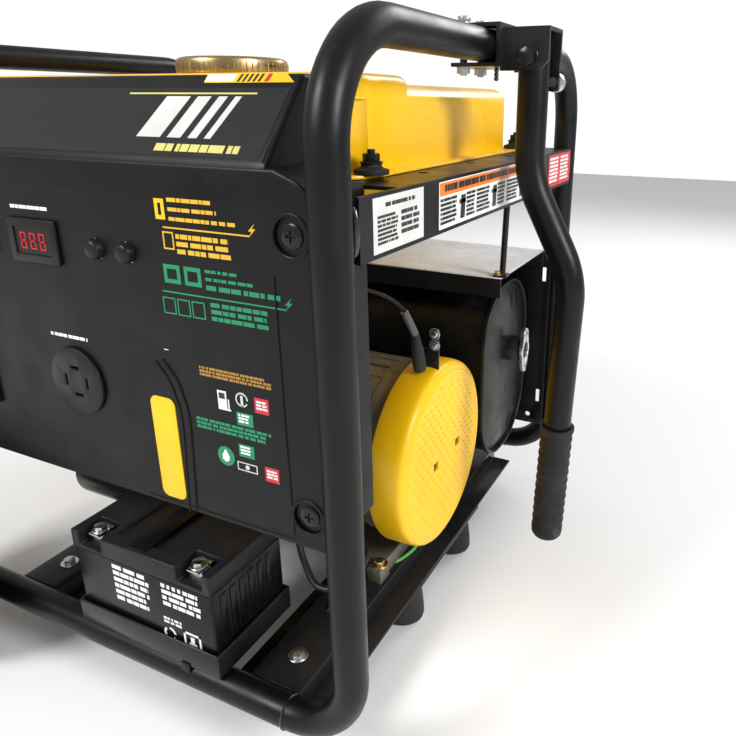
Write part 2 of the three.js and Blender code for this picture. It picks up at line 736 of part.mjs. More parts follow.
// Battery leads, each on its own chosen route from the battery to the starter and to earth.
const [, BATTERY_TOP] = BATTERY_Z;
const leadRoute = (points) => new THREE.CatmullRomCurve3(
  points.map(([x, y, z]) => new THREE.Vector3(RIGHT + x, FRONT + y, z)),
).getPoints(16).map((p) => p.toArray());

function negativeLead() {
  const z = BATTERY_TOP;
  return tube(leadRoute([
    [-128, 86, z - 8], [-110, 86, z - 12], [-94, 76, z - 32], [-76, 68, z - 46],
    [-56, 72, z - 44], [-46, 88, z - 34], [-50, 106, z - 34], [-62, 120, z - 40],
  ]), LEAD_R, 8);
}

function positiveLead() {
  const z = BATTERY_TOP;
  return tube(leadRoute([
    [-256, 86, z - 8], [-266, 92, z + 2], [-284, 102, z + 13], [-299, 104, z + 15.5],
  ]), LEAD_R, 8);
}

place('battery_tray', batteryTray(), satinBlack);
place('battery', battery(), blackPlastic);
place('negative_lead', negativeLead(), rubber);
place('positive_lead', positiveLead(), redPlastic);

// ------------------------------------------------------------------------------ fuel tank
const TANK_X = [RIGHT - TANK_IN - TANK_LENGTH, RIGHT - TANK_IN];
const TANK_Y = [FRONT + TANK_FRONT, FRONT + TANK_FRONT + TANK_DEPTH];
const TANK_BASE = CROSS_Z + GAP;
const TANK_TOP = TANK_BASE + TANK_RISE;
const CAP_X = RIGHT - CAP_IN;
const CAP_Y = FRONT + CAP_BACK;

// Fuel cock under the tank's front left corner, with a nose that its lever turns on.
const COCK = { x: TANK_X[0] + 60, y: TANK_Y[0] + 16, z: TANK_BASE - TANK_SUMP - 14 };

function fuelCock() {
  const root = TANK_BASE - TANK_SUMP + 1;
  const post = bar([COCK.x, COCK.y, root], [COCK.x, COCK.y, COCK.z - 8], 8, SMALL_ROUND);
  const nose = bar([COCK.x, COCK.y, COCK.z], [COCK.x, COCK.y - 12, COCK.z], 7, SMALL_ROUND);
  return joined(post, nose);
}

// A pressed shell half: straight sides and a rounded shoulder of the given size.
function pressing(xRange, yRange, from, to, corner, shoulder) {
  const shape = roundedRectangle(grown(xRange, -shoulder), grown(yRange, -shoulder), corner - shoulder / 2);
  const options = {
    depth: Math.abs(to - from) - shoulder,
    bevelEnabled: true,
    bevelThickness: shoulder,
    bevelSize: shoulder,
    bevelSegments: 3,
    curveSegments: 4,
  };
  const pressed = solid(new THREE.ExtrudeGeometry(shape, options).translate(0, 0, Math.min(from, to)));
  const kept = block(grown(xRange, 1), grown(yRange, 1), [Math.min(from, to), Math.max(from, to)]);
  return pressed.intersect(kept);
}

function fuelTank() {
  const shoulder = 18;
  const rearTop = TANK_TOP - TANK_STEP;
  const step = [TANK_Y[0], TANK_Y[0] + TANK_STEP_DEPTH];
  const upper = pressing(TANK_X, TANK_Y, TANK_BASE, rearTop, TANK_CORNER, shoulder);
  const raised = pressing(TANK_X, step, TANK_BASE, TANK_TOP, TANK_CORNER, shoulder);
  const rim = roundedRectangle(grown(TANK_X, TANK_FLANGE), grown(TANK_Y, TANK_FLANGE), TANK_CORNER);
  const flange = prism('z', rim, TANK_BASE, TANK_BASE + SHEET);
  const sumpX = grown(TANK_X, TANK_IN - CROSS_FLANGE - 4 + CROSS_OUTSET);
  const sump = block(grown(sumpX, 0), grown(TANK_Y, -4), [TANK_BASE - TANK_SUMP, TANK_BASE + 1]);
  const neck = bar([CAP_X, CAP_Y, TANK_TOP - 2], [CAP_X, CAP_Y, TANK_TOP + 6], NECK_R);
  const filler = bar([CAP_X, CAP_Y, TANK_TOP - 26], [CAP_X, CAP_Y, TANK_TOP + 7], INSERT_R + RUNNING);
  return cut(joined(upper, raised, flange, sump, neck, fuelCock()), filler);
}

// The bayonet insert turns in the neck with the cap, and the cap lifts off it.
function capInsert() {
  const bottom = TANK_TOP - 16;
  const ring = ringProfile(INSERT_R - 4, INSERT_R, 0, 22);
  return turned(ring, [CAP_X, CAP_Y, bottom], [0, 0, 1]);
}

function fuelCap() {
  const top = TANK_TOP + 13 + GAP;
  const skirt = CAP_R - 3;
  const profile = [
    [0, -CAP_HEIGHT + 15],
    [skirt, -CAP_HEIGHT + 15],
    [skirt, -CAP_HEIGHT + 9],
    [CAP_R, -CAP_HEIGHT + 9],
    [CAP_R, -3],
    [CAP_R - 4, 0],
    [0, 0],
  ];
  return turned(profile, [CAP_X, CAP_Y, top], [0, 0, 1], 32);
}

place('fuel_tank', fuelTank(), yellowPaint);
place('cap_insert', capInsert(), zinc);
place('fuel_cap', fuelCap(), brassCap);

// ------------------------------------------------------------------------- control panel
const PANEL_X = [RIGHT - PANEL_IN - PANEL_LENGTH, RIGHT - PANEL_IN];
const PANEL_Y = FRONT + PANEL_FRONT;
const panelX = (share) => PANEL_X[0] + share * PANEL_LENGTH; // 0 is the panel's left end
const highRow = RAIL_Z + PANEL_HIGH_ROW;
const lowRow = RAIL_Z + PANEL_LOW_ROW;

const METER_X = panelX(0.42);
const DUPLEX_X = panelX(0.17);
const LOCKING_X = panelX(0.47);
const SELECTOR_X = panelX(0.1);
const ROCKER_X = panelX(0.27);
const BREAKER_X = [panelX(0.57), panelX(0.64)];

// A rectangle across the panel's face, from one depth to another.
function facePlate(x, z, [width, height], from, to) {
  const across = [x - width / 2, x + width / 2];
  return block(across, [PANEL_Y + from, PANEL_Y + to], [z - height / 2, z + height / 2]);
}

function faceDisc(x, z, radius, from, to, sides = ROUND) {
  return bar([x, PANEL_Y + from, z], [x, PANEL_Y + to, z], radius, sides);
}

// Moulded shell, open at the back, with a hood that leans back over the tank's front edge.
function panelHousing() {
  const low = RAIL_Z + PANEL_BOTTOM;
  const bend = RAIL_Z + PANEL_BREAK;
  const top = RAIL_Z + PANEL_TOP;
  const back = PANEL_Y + PANEL_DEPTH;
  const hoodBack = PANEL_Y + HOOD_DEPTH;
  const lean = PANEL_Y + HOOD_LEAN;
  const w = PANEL_WALL;
  const hoodX = grown(PANEL_X, -HOOD_INSET);
  const lower = block(PANEL_X, [PANEL_Y, back], [low, bend]);
  const hoodOutline = [
    [PANEL_Y, bend - 1],
    [PANEL_Y, bend],
    [lean, top],
    [hoodBack, top],
    [hoodBack, bend - 1],
  ];
  const hood = prism('x', hoodOutline, ...hoodX);
  const lowerHollow = block(grown(PANEL_X, -w), [PANEL_Y + w, back + 1], [low + w, bend - w]);
  const hollowOutline = [
    [PANEL_Y + w, bend - w - 1],
    [PANEL_Y + w, bend - w / 2],
    [lean + w / 2, top - w],
    [hoodBack + 1, top - w],
    [hoodBack + 1, bend - w - 1],
  ];
  const hoodHollow = prism('x', hollowOutline, ...grown(hoodX, -w));
  const through = [-1, w + 1];
  const holes = [
    facePlate(METER_X, highRow, METER_SIZE.map((v) => v - 6 + 2 * GAP), ...through),
    facePlate(DUPLEX_X, lowRow, DUPLEX_SIZE.map((v) => v - 8 + 2 * GAP), ...through),
    facePlate(ROCKER_X, highRow, ROCKER_SIZE.map((v) => v + 2), ...through),
    faceDisc(LOCKING_X, lowRow, LOCKING_R - 5 + GAP, ...through),
    faceDisc(SELECTOR_X, highRow, 5 + GAP, ...through, SMALL_ROUND),
    ...BREAKER_X.map((x) => faceDisc(x, highRow, BREAKER_R + RUNNING, ...through, SMALL_ROUND)),
  ];
  return cut(joined(lower, hood), lowerHollow, hoodHollow, ...holes);
}

const meter = () => joined(
  facePlate(METER_X, highRow, METER_SIZE, -FACE_PROUD, -GAP),
  facePlate(METER_X, highRow, METER_SIZE.map((v) => v - 6), -GAP - 1, 24),
);

// Two plug faces on one strap, each with a flat blade slot pair and an earth hole.
function duplexOutlet() {
  const strap = facePlate(DUPLEX_X, lowRow, DUPLEX_SIZE, -FACE_PROUD, -GAP);
  const box = facePlate(DUPLEX_X, lowRow, DUPLEX_SIZE.map((v) => v - 8), -GAP - 1, 30);
  const slots = [-19, 19].flatMap((dz) => [
    facePlate(DUPLEX_X - 6, lowRow + dz + 3, [2.2, 8], -FACE_PROUD - 1, 8),
    facePlate(DUPLEX_X + 6, lowRow + dz + 3, [2.2, 8], -FACE_PROUD - 1, 8),
    faceDisc(DUPLEX_X, lowRow + dz - 7, 2.4, -FACE_PROUD - 1, 8, 8),
  ]);
  return cut(joined(strap, box), ...slots);
}

// Round twist-lock socket with four blade slots.
function lockingOutlet() {
  const ring = faceDisc(LOCKING_X, lowRow, LOCKING_R, -FACE_PROUD, -GAP, 32);
  const body = faceDisc(LOCKING_X, lowRow, LOCKING_R - 5, -GAP - 1, 34);
  const slots = [[0, 11, 9, 2.4], [0, -11, 9, 2.4], [11, 0, 2.4, 9], [-11, 0, 2.4, 9]].map(
    ([dx, dz, w, h]) => facePlate(LOCKING_X + dx, lowRow + dz, [w, h], -FACE_PROUD - 1, 8),
  );
  return cut(joined(ring, body), ...slots);
}

const breakerButton = (x) => faceDisc(x, highRow, BREAKER_R, -BUTTON_PROUD, BUTTON_STEM, SMALL_ROUND);

// Rocker on a cross pin: the paddle stands proud and its barrel sits in the panel's hole.
function startRocker() {
  const [width, height] = ROCKER_SIZE;
  const outline = [
    [PANEL_Y + 3, highRow - height / 2 + 1],
    [PANEL_Y - 1, highRow - height / 2 + 1],
    [PANEL_Y - 3, highRow],
    [PANEL_Y - 6, highRow + height / 2 - 1],
    [PANEL_Y + 3, highRow + height / 2 - 1],
  ];
  return prism('x', outline, ROCKER_X - width / 2 + 1, ROCKER_X + width / 2 - 1);
}

function fuelSelector() {
  const disc = faceDisc(SELECTOR_X, highRow, SELECTOR_R, -6, -1);
  const grip = facePlate(SELECTOR_X, highRow, [8, SELECTOR_R * 2 - 4], -16, -5);
  const stem = faceDisc(SELECTOR_X, highRow, 5, -2, 12, SMALL_ROUND);
  return joined(disc, grip, stem);
}

place('panel_housing', panelHousing(), panelPlastic);
place('voltage_meter', meter(), blackPlastic);
place('duplex_outlet', duplexOutlet(), blackPlastic);
place('locking_outlet', lockingOutlet(), blackPlastic);
place('first_breaker', breakerButton(BREAKER_X[0]), blackPlastic);
place('second_breaker', breakerButton(BREAKER_X[1]), blackPlastic);
place('start_rocker', startRocker(), redPlastic);
place('fuel_selector', fuelSelector(), yellowPaint);

// ---------------------------------------------------------------------------- alternator
const HOUSING_IN = COVER_IN + 10;
const CASE_IN = HOUSING_IN + HOUSING_LENGTH + GAP;
const CASE_MID = RIGHT - CASE_IN - CASE_LENGTH / 2;
const BLOWER_IN = CASE_IN + CASE_LENGTH + GAP;
const RECOIL_IN = BLOWER_IN + BLOWER_DEPTH + GAP;

// A point on the crank's axis, given inward from the right hoop.
const onAxis = (inward) => [RIGHT - inward, SHAFT_Y, AXIS_Z];
const disc = (from, to, radius, sides = ROUND) => bar(onAxis(from), onAxis(to), radius, sides);

function alternatorHousing() {
  const end = HOUSING_IN + HOUSING_LENGTH;
  const outer = disc(HOUSING_IN, end, HOUSING_R, 36);
  const hollow = disc(HOUSING_IN + HOUSING_WALL, end + 1, HOUSING_BORE, 36);
  const bearing = disc(HOUSING_IN - 1, end, SHAFT_R + RUNNING);
  const feet = block(
    [RIGHT - RIGHT_HAT_IN - HAT_TOP_WIDTH / 2, RIGHT - COVER_IN - COVER_DEPTH - 2],
    [SHAFT_Y - 60, SHAFT_Y + 60],
    [RAIL_Z + HAT_RISE + GAP, AXIS_Z - HOUSING_BORE + 4],
  );
  return cut(joined(outer, feet), hollow, bearing);
}

// Dished cap over the housing's end.
function alternatorCover() {
  const inner = HOUSING_R + GAP;
  const profile = [
    [0, 0],
    [COVER_R - 8, 0],
    [COVER_R - 2, 2.5],
    [COVER_R, 8],
    [COVER_R, COVER_DEPTH],
    [inner, COVER_DEPTH],
    [inner, 5],
    [0, 5],
  ];
  return turned(profile, onAxis(COVER_IN), [-1, 0, 0], 40);
}

const STATOR_IN = HOUSING_IN + 38;
const stator = () => cut(
  disc(STATOR_IN, STATOR_IN + STATOR_LENGTH, HOUSING_BORE - GAP, 36),
  disc(STATOR_IN - 1, STATOR_IN + STATOR_LENGTH + 1, STATOR_BORE, 36),
);
const rotor = () => cut(
  disc(STATOR_IN - 2, STATOR_IN - 2 + ROTOR_LENGTH, ROTOR_R),
  disc(STATOR_IN - 4, STATOR_IN + ROTOR_LENGTH, SHAFT_R + GAP),
);

// ------------------------------------------------------------------------ crank and case
function crankshaft() {
  const webStart = RIGHT - CASE_MID - CRANK_PIN_LENGTH / 2 - CRANK_WEB;
  const pinStart = webStart + CRANK_WEB;
  const secondWeb = pinStart + CRANK_PIN_LENGTH;
  const [, y, z] = onAxis(0);
  const pin = bar(
    [RIGHT - pinStart + 1, y, z - CRANK_THROW],
    [RIGHT - secondWeb - 1, y, z - CRANK_THROW],
    CRANK_PIN_R,
    SMALL_ROUND,
  );
  return joined(
    disc(HOUSING_IN - 2, webStart + 1, SHAFT_R),
    disc(webStart, pinStart, CRANK_WEB_R),
    pin,
    disc(secondWeb, secondWeb + CRANK_WEB, CRANK_WEB_R),
    disc(secondWeb + 1, BLOWER_IN + BLOWER_DEPTH - 8, SHAFT_R),
  );
}

// Turns a piece built along +Z from the crank's axis to the cylinder's tilt.
const tilted = (body) => body
  .rotate([THREE.MathUtils.radToDeg(CYLINDER_TILT) - 90, 0, 0])
  .translate([CASE_MID, SHAFT_Y, AXIS_Z]);

function crankcase() {
  const end = CASE_IN + CASE_LENGTH;
  const low = AXIS_Z - CASE_BELOW;
  const high = AXIS_Z + CASE_ABOVE;
  const corner = 26;
  const outline = [
    [SHAFT_Y - CASE_HALF, low],
    [SHAFT_Y + CASE_HALF, low],
    [SHAFT_Y + CASE_HALF, high - corner],
    [SHAFT_Y + CASE_HALF - corner, high],
    [SHAFT_Y - CASE_HALF + corner, high],
    [SHAFT_Y - CASE_HALF, high - corner],
  ];
  const body = prism('x', outline, RIGHT - end, RIGHT - CASE_IN);
  const barrel = tilted(bar([0, 0, 10], [0, 0, CYLINDER_TOP], CYLINDER_R));
  const chamber = disc(CASE_IN + CHAMBER_WALL, end - CHAMBER_WALL, CHAMBER_R);
  const shaftBore = disc(CASE_IN - 1, end + 1, SHAFT_R + RUNNING);
  const bore = tilted(bar([0, 0, 10], [0, 0, CYLINDER_TOP + 1], BORE_R + RUNNING));
  return cut(joined(body, barrel), chamber, shaftBore, bore);
}

const pistonTop = CYLINDER_TOP - 4;
const piston = () => tilted(bar([0, 0, pistonTop - PISTON_LENGTH], [0, 0, pistonTop], BORE_R));

const headStart = CYLINDER_TOP + GAP;
const coverStart = headStart + HEAD_LENGTH + GAP;
const cylinderHead = () => tilted(
  block([-HEAD_HALF, HEAD_HALF], [-HEAD_HALF, HEAD_HALF - 5], [headStart, headStart + HEAD_LENGTH]),
);
const valveCover = () => tilted(prism(
  'z',
  roundedRectangle([-HEAD_HALF + 8, HEAD_HALF - 8], [-HEAD_HALF + 10, HEAD_HALF - 14], 14),
  coverStart,
  coverStart + VALVE_COVER_LENGTH,
));

place('alternator_housing', alternatorHousing(), castAluminium);
place('alternator_cover', alternatorCover(), yellowPaint);
place('stator', stator(), copper);
place('rotor', rotor(), castIron);
place('crankshaft', crankshaft(), steel);
place('crankcase', crankcase(), castAluminium);
place('piston', piston(), steel);
place('cylinder_head', cylinderHead(), castAluminium);
place('valve_cover', valveCover(), satinBlack);

// ---------------------------------------------------------------------- cooling and start
const PULLEY_IN = RECOIL_IN + 14;
const ROPE_Z = AXIS_Z + PULLEY_R + ROPE_R + RUNNING;
const RECOIL_X = RIGHT - PULLEY_IN - PULLEY_WIDTH / 2; // plane of the rope
const EYELET_Y = SHAFT_Y - RECOIL_R - 2;
const RECOIL_POST_R = 8;

// Rope, eyelet and grip are drawn level and turned about the shaft by the pull's tilt.
function pulled(body) {
  return body.translate([0, -SHAFT_Y, -AXIS_Z]).rotate([-PULL_TILT, 0, 0]).translate([0, SHAFT_Y, AXIS_Z]);
}

const flywheel = () => cut(
  disc(BLOWER_IN + 10, BLOWER_IN + 10 + FLYWHEEL_WIDTH, FLYWHEEL_R, 36),
  disc(BLOWER_IN, BLOWER_IN + BLOWER_DEPTH, SHAFT_R + GAP),
);

// Drum-shaped fan housing, open towards the engine, with a hole that the recoil unit covers.
function blowerHousing() {
  const wall = 4;
  const end = BLOWER_IN + BLOWER_DEPTH;
  const drum = disc(BLOWER_IN, end, BLOWER_R, 40);
  const hollow = disc(BLOWER_IN - 1, end - wall, BLOWER_R - wall, 40);
  const mouth = disc(end - wall - 1, end + 1, RECOIL_R - 12, 36);
  return cut(drum, hollow, mouth);
}

// Recoil cover: a cup with a fixed post for the pulley and a boss for the rope's eyelet.
function recoilCover() {
  const wall = 3;
  const end = RECOIL_IN + RECOIL_DEPTH;
  const cup = disc(RECOIL_IN, end, RECOIL_R, 36);
  const hollow = disc(RECOIL_IN - 1, end - wall, RECOIL_R - wall, 36);
  const post = disc(PULLEY_IN - 3, end - 1, RECOIL_POST_R, SMALL_ROUND);
  const boss = block(
    [RECOIL_X - 12, RECOIL_X + 12],
    [EYELET_Y, SHAFT_Y - RECOIL_R * 0.78],
    [ROPE_Z - 12, ROPE_Z + 12],
  );
  const eyeStart = [RECOIL_X, SHAFT_Y - RECOIL_R / 2, ROPE_Z];
  const eyelet = bar(eyeStart, [RECOIL_X, EYELET_Y - 1, ROPE_Z], ROPE_R + 2, SMALL_ROUND);
  return cut(joined(cut(joined(cup, pulled(boss)), hollow), post), pulled(eyelet));
}

function recoilPulley() {
  const rim = PULLEY_R + 6;
  const bore = RECOIL_POST_R + RUNNING;
  const profile = [
    [bore, 0],
    [rim, 0],
    [rim, 3],
    [PULLEY_R, 4],
    [PULLEY_R, PULLEY_WIDTH - 4],
    [rim, PULLEY_WIDTH - 3],
    [rim, PULLEY_WIDTH],
    [bore, PULLEY_WIDTH],
    [bore, 0],
  ];
  return turned(profile, onAxis(PULLEY_IN), [-1, 0, 0], 32);
}

const GRIP_SEAT_Y = EYELET_Y - GAP;
const ropeAt = (y, z = ROPE_Z) => [RECOIL_X, y, z];
const recoilRope = () => pulled(bar(ropeAt(SHAFT_Y), ropeAt(GRIP_SEAT_Y - 3), ROPE_R, 8));

// T-shaped grip with a bore that the rope's end sits in.
function recoilGrip() {
  const y = GRIP_SEAT_Y;
  const middle = y - RECOIL_GRIP_STEM - 4;
  const half = RECOIL_GRIP_LENGTH / 2;
  const stem = bar(ropeAt(y), ropeAt(y - RECOIL_GRIP_STEM), RECOIL_GRIP_R, 16, RECOIL_GRIP_R - 2);
  const cross = bar(ropeAt(middle, ROPE_Z - half), ropeAt(middle, ROPE_Z + half), RECOIL_GRIP_R, 16);
  const socket = bar(ropeAt(y + 1), ropeAt(y - 4), ROPE_R + GAP, 8);
  return pulled(cut(joined(stem, cross), socket));
}

function starterMotor() {
  const x = RIGHT - CASE_IN - 66;
  const y = SHAFT_Y - CASE_HALF - STARTER_R - 1;
  const z = AXIS_Z - 40;
  const motor = bar([x, y, z], [x - STARTER_LENGTH, y, z], STARTER_R);
  const solenoid = bar([x - 8, y - 6, z + 42], [x - 62, y - 6, z + 42], 16, 16);
  const link = block([x - 50, x - 30], [y - 14, y + 2], [z + 20, z + 40]);
  return joined(motor, solenoid, link);
}

function dipstick() {
  const x = RIGHT - CASE_IN - 34;
  const z = AXIS_Z - 66;
  const face = SHAFT_Y - CASE_HALF - GAP;
  const cap = bar([x, face, z], [x, face - 12, z], 14, 16);
  const grip = block([x - 12, x + 12], [face - 22, face - 11], [z - 3, z + 3]);
  return joined(cap, grip);
}

place('flywheel', flywheel(), castIron);
place('blower_housing', blowerHousing(), satinBlack);
place('recoil_cover', recoilCover(), yellowPaint);
place('recoil_pulley', recoilPulley(), blackPlastic);
place('recoil_rope', recoilRope(), rubber);
place('recoil_grip', recoilGrip(), rubber);
place('starter_motor', starterMotor(), satinBlack);
place('dipstick', dipstick(), yellowPaint);

// ------------------------------------------------------------------------------- exhaust
const MUFFLER_Y = FRONT + MUFFLER_BACK;
const DRUM_Z = RAIL_Z + MUFFLER_Z;
const HEAD_MID = CYLINDER_TOP + HEAD_LENGTH / 2;
const PORT_Y = SHAFT_Y + Math.cos(CYLINDER_TILT) * HEAD_MID;
const PORT_Z = AXIS_Z + Math.sin(CYLINDER_TILT) * HEAD_MID;
const OUTLET_Y = FRONT + 400;
const OUTLET_Z = RAIL_Z + 170;
const OUTLET_R = 14;

function oval(width, height, steps = 28) {
  const points = [];
  for (let i = 0; i < steps; i += 1) {
    const a = (i / steps) * Math.PI * 2;
    points.push([MUFFLER_Y + Math.cos(a) * width / 2, DRUM_Z + Math.sin(a) * height / 2]);
  }
  return points;
}

// Oval drum with an inlet pipe from the head and a flanged outlet.
function muffler() {
  const right = RIGHT - MUFFLER_IN;
  const left = right - MUFFLER_LENGTH;
  const drum = prism('x', oval(MUFFLER_DEPTH - 6, MUFFLER_HEIGHT - 6), left, right);
  const rim = prism('x', oval(MUFFLER_DEPTH, MUFFLER_HEIGHT), right - 8, right - 1);
  const rearRim = prism('x', oval(MUFFLER_DEPTH, MUFFLER_HEIGHT), left + 1, left + 8);
  const inlet = bar([left + 1, PORT_Y, PORT_Z], [CASE_MID + HEAD_HALF + GAP, PORT_Y, PORT_Z], OUTLET_R);
  const stub = bar([right - 1, OUTLET_Y, OUTLET_Z], [right + 17, OUTLET_Y, OUTLET_Z], OUTLET_R - 1);
  const flange = prism(
    'x',
    roundedRectangle([OUTLET_Y - 38, OUTLET_Y + 38], [OUTLET_Z - 21, OUTLET_Z + 21], 18),
    right + 16,
    right + 20,
  );
  const bore = bar([right + 2, OUTLET_Y, OUTLET_Z], [right + 21, OUTLET_Y, OUTLET_Z], OUTLET_R - 3);
  return cut(joined(drum, rim, rearRim, inlet, stub, flange), bore);
}

const SHIELD_FRONT = MUFFLER_BACK - MUFFLER_DEPTH / 2 + 4;
const shieldX = [RIGHT - SHIELD_IN - SHIELD_LENGTH, RIGHT - SHIELD_IN];

// Folded sheet over the drum, turned down along its front edge.
function heatShield() {
  const top = RAIL_Z + SHIELD_Z;
  const front = FRONT + SHIELD_FRONT;
  const outline = [
    [front, top],
    [front, top - SHIELD_LIP],
    [front + SHEET, top - SHIELD_LIP],
    [front + SHEET, top - SHEET],
    [FRONT + GUARD_BACK - GAP, top - SHEET],
    [FRONT + GUARD_BACK - GAP, top],
  ];
  return prism('x', outline, ...shieldX);
}

// Upright plate behind the drum, slotted near its right edge.
function guardPlate() {
  const y = [FRONT + GUARD_BACK, FRONT + GUARD_BACK + SHEET];
  const through = grown(y, 1);
  const right = RIGHT - 2;
  const slotX = [RIGHT - 12.5, RIGHT - 7];
  const low = RAIL_Z + GUARD_BOTTOM;
  const sheet = block([shieldX[0], right], y, [low, RAIL_Z + SHIELD_Z - 1]);
  const slots = [low + 32, RAIL_Z + SHIELD_Z - 40].map((z) => block(slotX, through, [z, z + 18]));
  const hole = bar([RIGHT - 22, through[0], low + 12], [RIGHT - 22, through[1], low + 12], 3.5, 8);
  return cut(sheet, ...slots, hole);
}

place('muffler', muffler(), satinBlack);
place('heat_shield', heatShield(), shieldMetal);
place('guard_plate', guardPlate(), satinBlack);

// -------------------------------------------------------------------------------- intake
const CARB_X = [CASE_MID - HEAD_HALF - GAP - 44, CASE_MID - HEAD_HALF - GAP];
const CARB_Y = [PORT_Y - 18, PORT_Y + 24];
const CARB_Z = [PORT_Z - 26, PORT_Z + 22];
const FILTER_X = [CARB_X[0] - GAP - 112, CARB_X[0] - GAP];
const FILTER_Y = [SHAFT_Y + BLOWER_R + 7, BACK - TUBE_R - 12];
const FILTER_Z = [PORT_Z - 44, PORT_Z + 84];
const CHOKE = { x: CARB_X[1] - 20, y: CARB_Y[1] - 10 };

function carburettor() {
  const body = block(CARB_X, CARB_Y, CARB_Z);
  const bowlAt = (z) => [CARB_X[1] - 22, PORT_Y + 3, z];
  const bowl = bar(bowlAt(CARB_Z[0] + 1), bowlAt(CARB_Z[0] - 24), 16, 16);
  return joined(body, bowl);
}

const airFilter = () => prism('x', roundedRectangle(FILTER_Y, FILTER_Z, 16), ...FILTER_X);

function chokeLever() {
  const z = CARB_Z[1] + GAP;
  const hub = bar([CHOKE.x, CHOKE.y, z], [CHOKE.x, CHOKE.y, z + 5], 6, SMALL_ROUND);
  const arm = block([CHOKE.x - 3, CHOKE.x + 3], [CHOKE.y, CHOKE.y + 34], [z + 1, z + 4]);
  const tab = block([CHOKE.x - 5, CHOKE.x + 5], [CHOKE.y + 32, CHOKE.y + 35], [z + 1, z + 14]);
  return joined(hub, arm, tab);
}

function fuelLever() {
  const y = COCK.y - 12 - GAP;
  const hub = bar([COCK.x, y, COCK.z], [COCK.x, y - 6, COCK.z], 8, SMALL_ROUND);
  const arm = block([COCK.x - 4, COCK.x + 4], [y - 6, y - 2], [COCK.z - 30, COCK.z]);
  return joined(hub, arm);
}

place('carburettor', carburettor(), castAluminium);
place('air_filter', airFilter(), blackPlastic);
place('choke_lever', chokeLever(), redPlastic);
place('fuel_lever', fuelLever(), redPlastic);

export default generator;
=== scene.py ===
"""Portable open-frame generator set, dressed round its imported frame.

Laid out like an add-on: settings, one operator for each group of pieces, and a panel that lists them.
Lengths are metres, in the frame's own axes: +X to the alternator end, -Y to the control panel, +Z up.
"""

import math
import random

import bpy
from bpy.props import FloatProperty, FloatVectorProperty, IntProperty, PointerProperty
from mathutils import Matrix, Vector


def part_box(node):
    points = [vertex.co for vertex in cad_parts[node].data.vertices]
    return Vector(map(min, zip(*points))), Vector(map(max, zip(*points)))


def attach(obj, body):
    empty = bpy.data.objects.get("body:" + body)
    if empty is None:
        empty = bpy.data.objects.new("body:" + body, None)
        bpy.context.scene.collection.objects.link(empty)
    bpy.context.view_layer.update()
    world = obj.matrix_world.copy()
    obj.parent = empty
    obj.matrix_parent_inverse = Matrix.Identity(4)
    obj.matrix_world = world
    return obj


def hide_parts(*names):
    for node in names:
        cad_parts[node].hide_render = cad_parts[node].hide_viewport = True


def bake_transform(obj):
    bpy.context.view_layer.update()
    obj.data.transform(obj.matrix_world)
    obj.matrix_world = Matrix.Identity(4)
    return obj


bl_info = {
    "name": "Portable Generator",
    "version": (1, 0, 0),
    "blender": (4, 5, 0),
    "location": "View3D > Sidebar > Generator",
    "description": "Builds a portable generator set round its frame",
    "category": "Object",
}

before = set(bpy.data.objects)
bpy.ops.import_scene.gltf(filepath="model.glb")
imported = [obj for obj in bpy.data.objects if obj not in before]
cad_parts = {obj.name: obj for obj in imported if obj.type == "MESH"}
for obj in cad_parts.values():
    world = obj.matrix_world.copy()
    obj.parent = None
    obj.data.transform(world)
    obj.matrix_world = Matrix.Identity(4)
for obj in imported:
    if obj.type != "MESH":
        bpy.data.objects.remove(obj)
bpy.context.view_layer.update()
MM = 0.001
X, Y, Z = Vector((1, 0, 0)), Vector((0, 1, 0)), Vector((0, 0, 1))

# ------------------------------------------------------------------ places taken from the frame
HOOP_LOW, HOOP_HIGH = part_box("right_hoop")
TUBE_R = 12.7 * MM
RIGHT = HOOP_HIGH.x - TUBE_R
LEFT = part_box("left_hoop")[0].x + TUBE_R
FRONT = HOOP_LOW.y + TUBE_R
BACK = -FRONT
TOP = HOOP_HIGH.z - TUBE_R
RAIL = HOOP_LOW.z + TUBE_R
SHAFT = (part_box("crankshaft")[0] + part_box("crankshaft")[1]) / 2


def middle(node):
    low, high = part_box(node)
    return (low + high) / 2


# ---------------------------------------------------------------------------- settings
class GeneratorSizes(bpy.types.PropertyGroup):
    """Sizes that a user would change."""

    top_bend: FloatProperty(name="Top bend", description="Radius of the hoops' top corners",
                            default=68 * MM, unit="LENGTH")
    foot_bend: FloatProperty(name="Foot bend", description="Radius of the hoops' bottom corners",
                             default=57 * MM, unit="LENGTH")
    edge: FloatProperty(name="Sheet edge", description="Rounding of sheet-metal edges",
                        default=0.7 * MM, unit="LENGTH")
    tank_corner: FloatProperty(name="Tank corner", description="Radius of the tank's upright corners",
                               default=32 * MM, unit="LENGTH")
    tread_blocks: IntProperty(name="Tread blocks", description="Tread blocks round each tyre", default=36)
    cover_grain: FloatProperty(name="Cover grain", description="Pitch of the raised grain on the end cover",
                               default=11 * MM, unit="LENGTH")


class GeneratorColours(bpy.types.PropertyGroup):
    """Colours that a user would change."""

    frame_black: FloatVectorProperty(name="Frame", description="Powder coat of the tube frame",
                                     default=(0.0035, 0.0035, 0.0036), subtype="COLOR")
    yellow: FloatVectorProperty(name="Yellow", description="Tank enamel and yellow mouldings",
                                default=(0.95, 0.54, 0.003), subtype="COLOR")
    panel: FloatVectorProperty(name="Panel", description="Control panel moulding",
                               default=(0.0035, 0.0035, 0.0037), subtype="COLOR")
    # This colour also paints the highlight line along the hood's right bevelled edge.
    hood: FloatVectorProperty(name="Hood", description="Leaning face of the panel's hood",
                              default=(0.011, 0.0115, 0.0125), subtype="COLOR")
    casting: FloatVectorProperty(name="Casting", description="Cast aluminium",
                                 default=(0.21, 0.195, 0.155), subtype="COLOR")


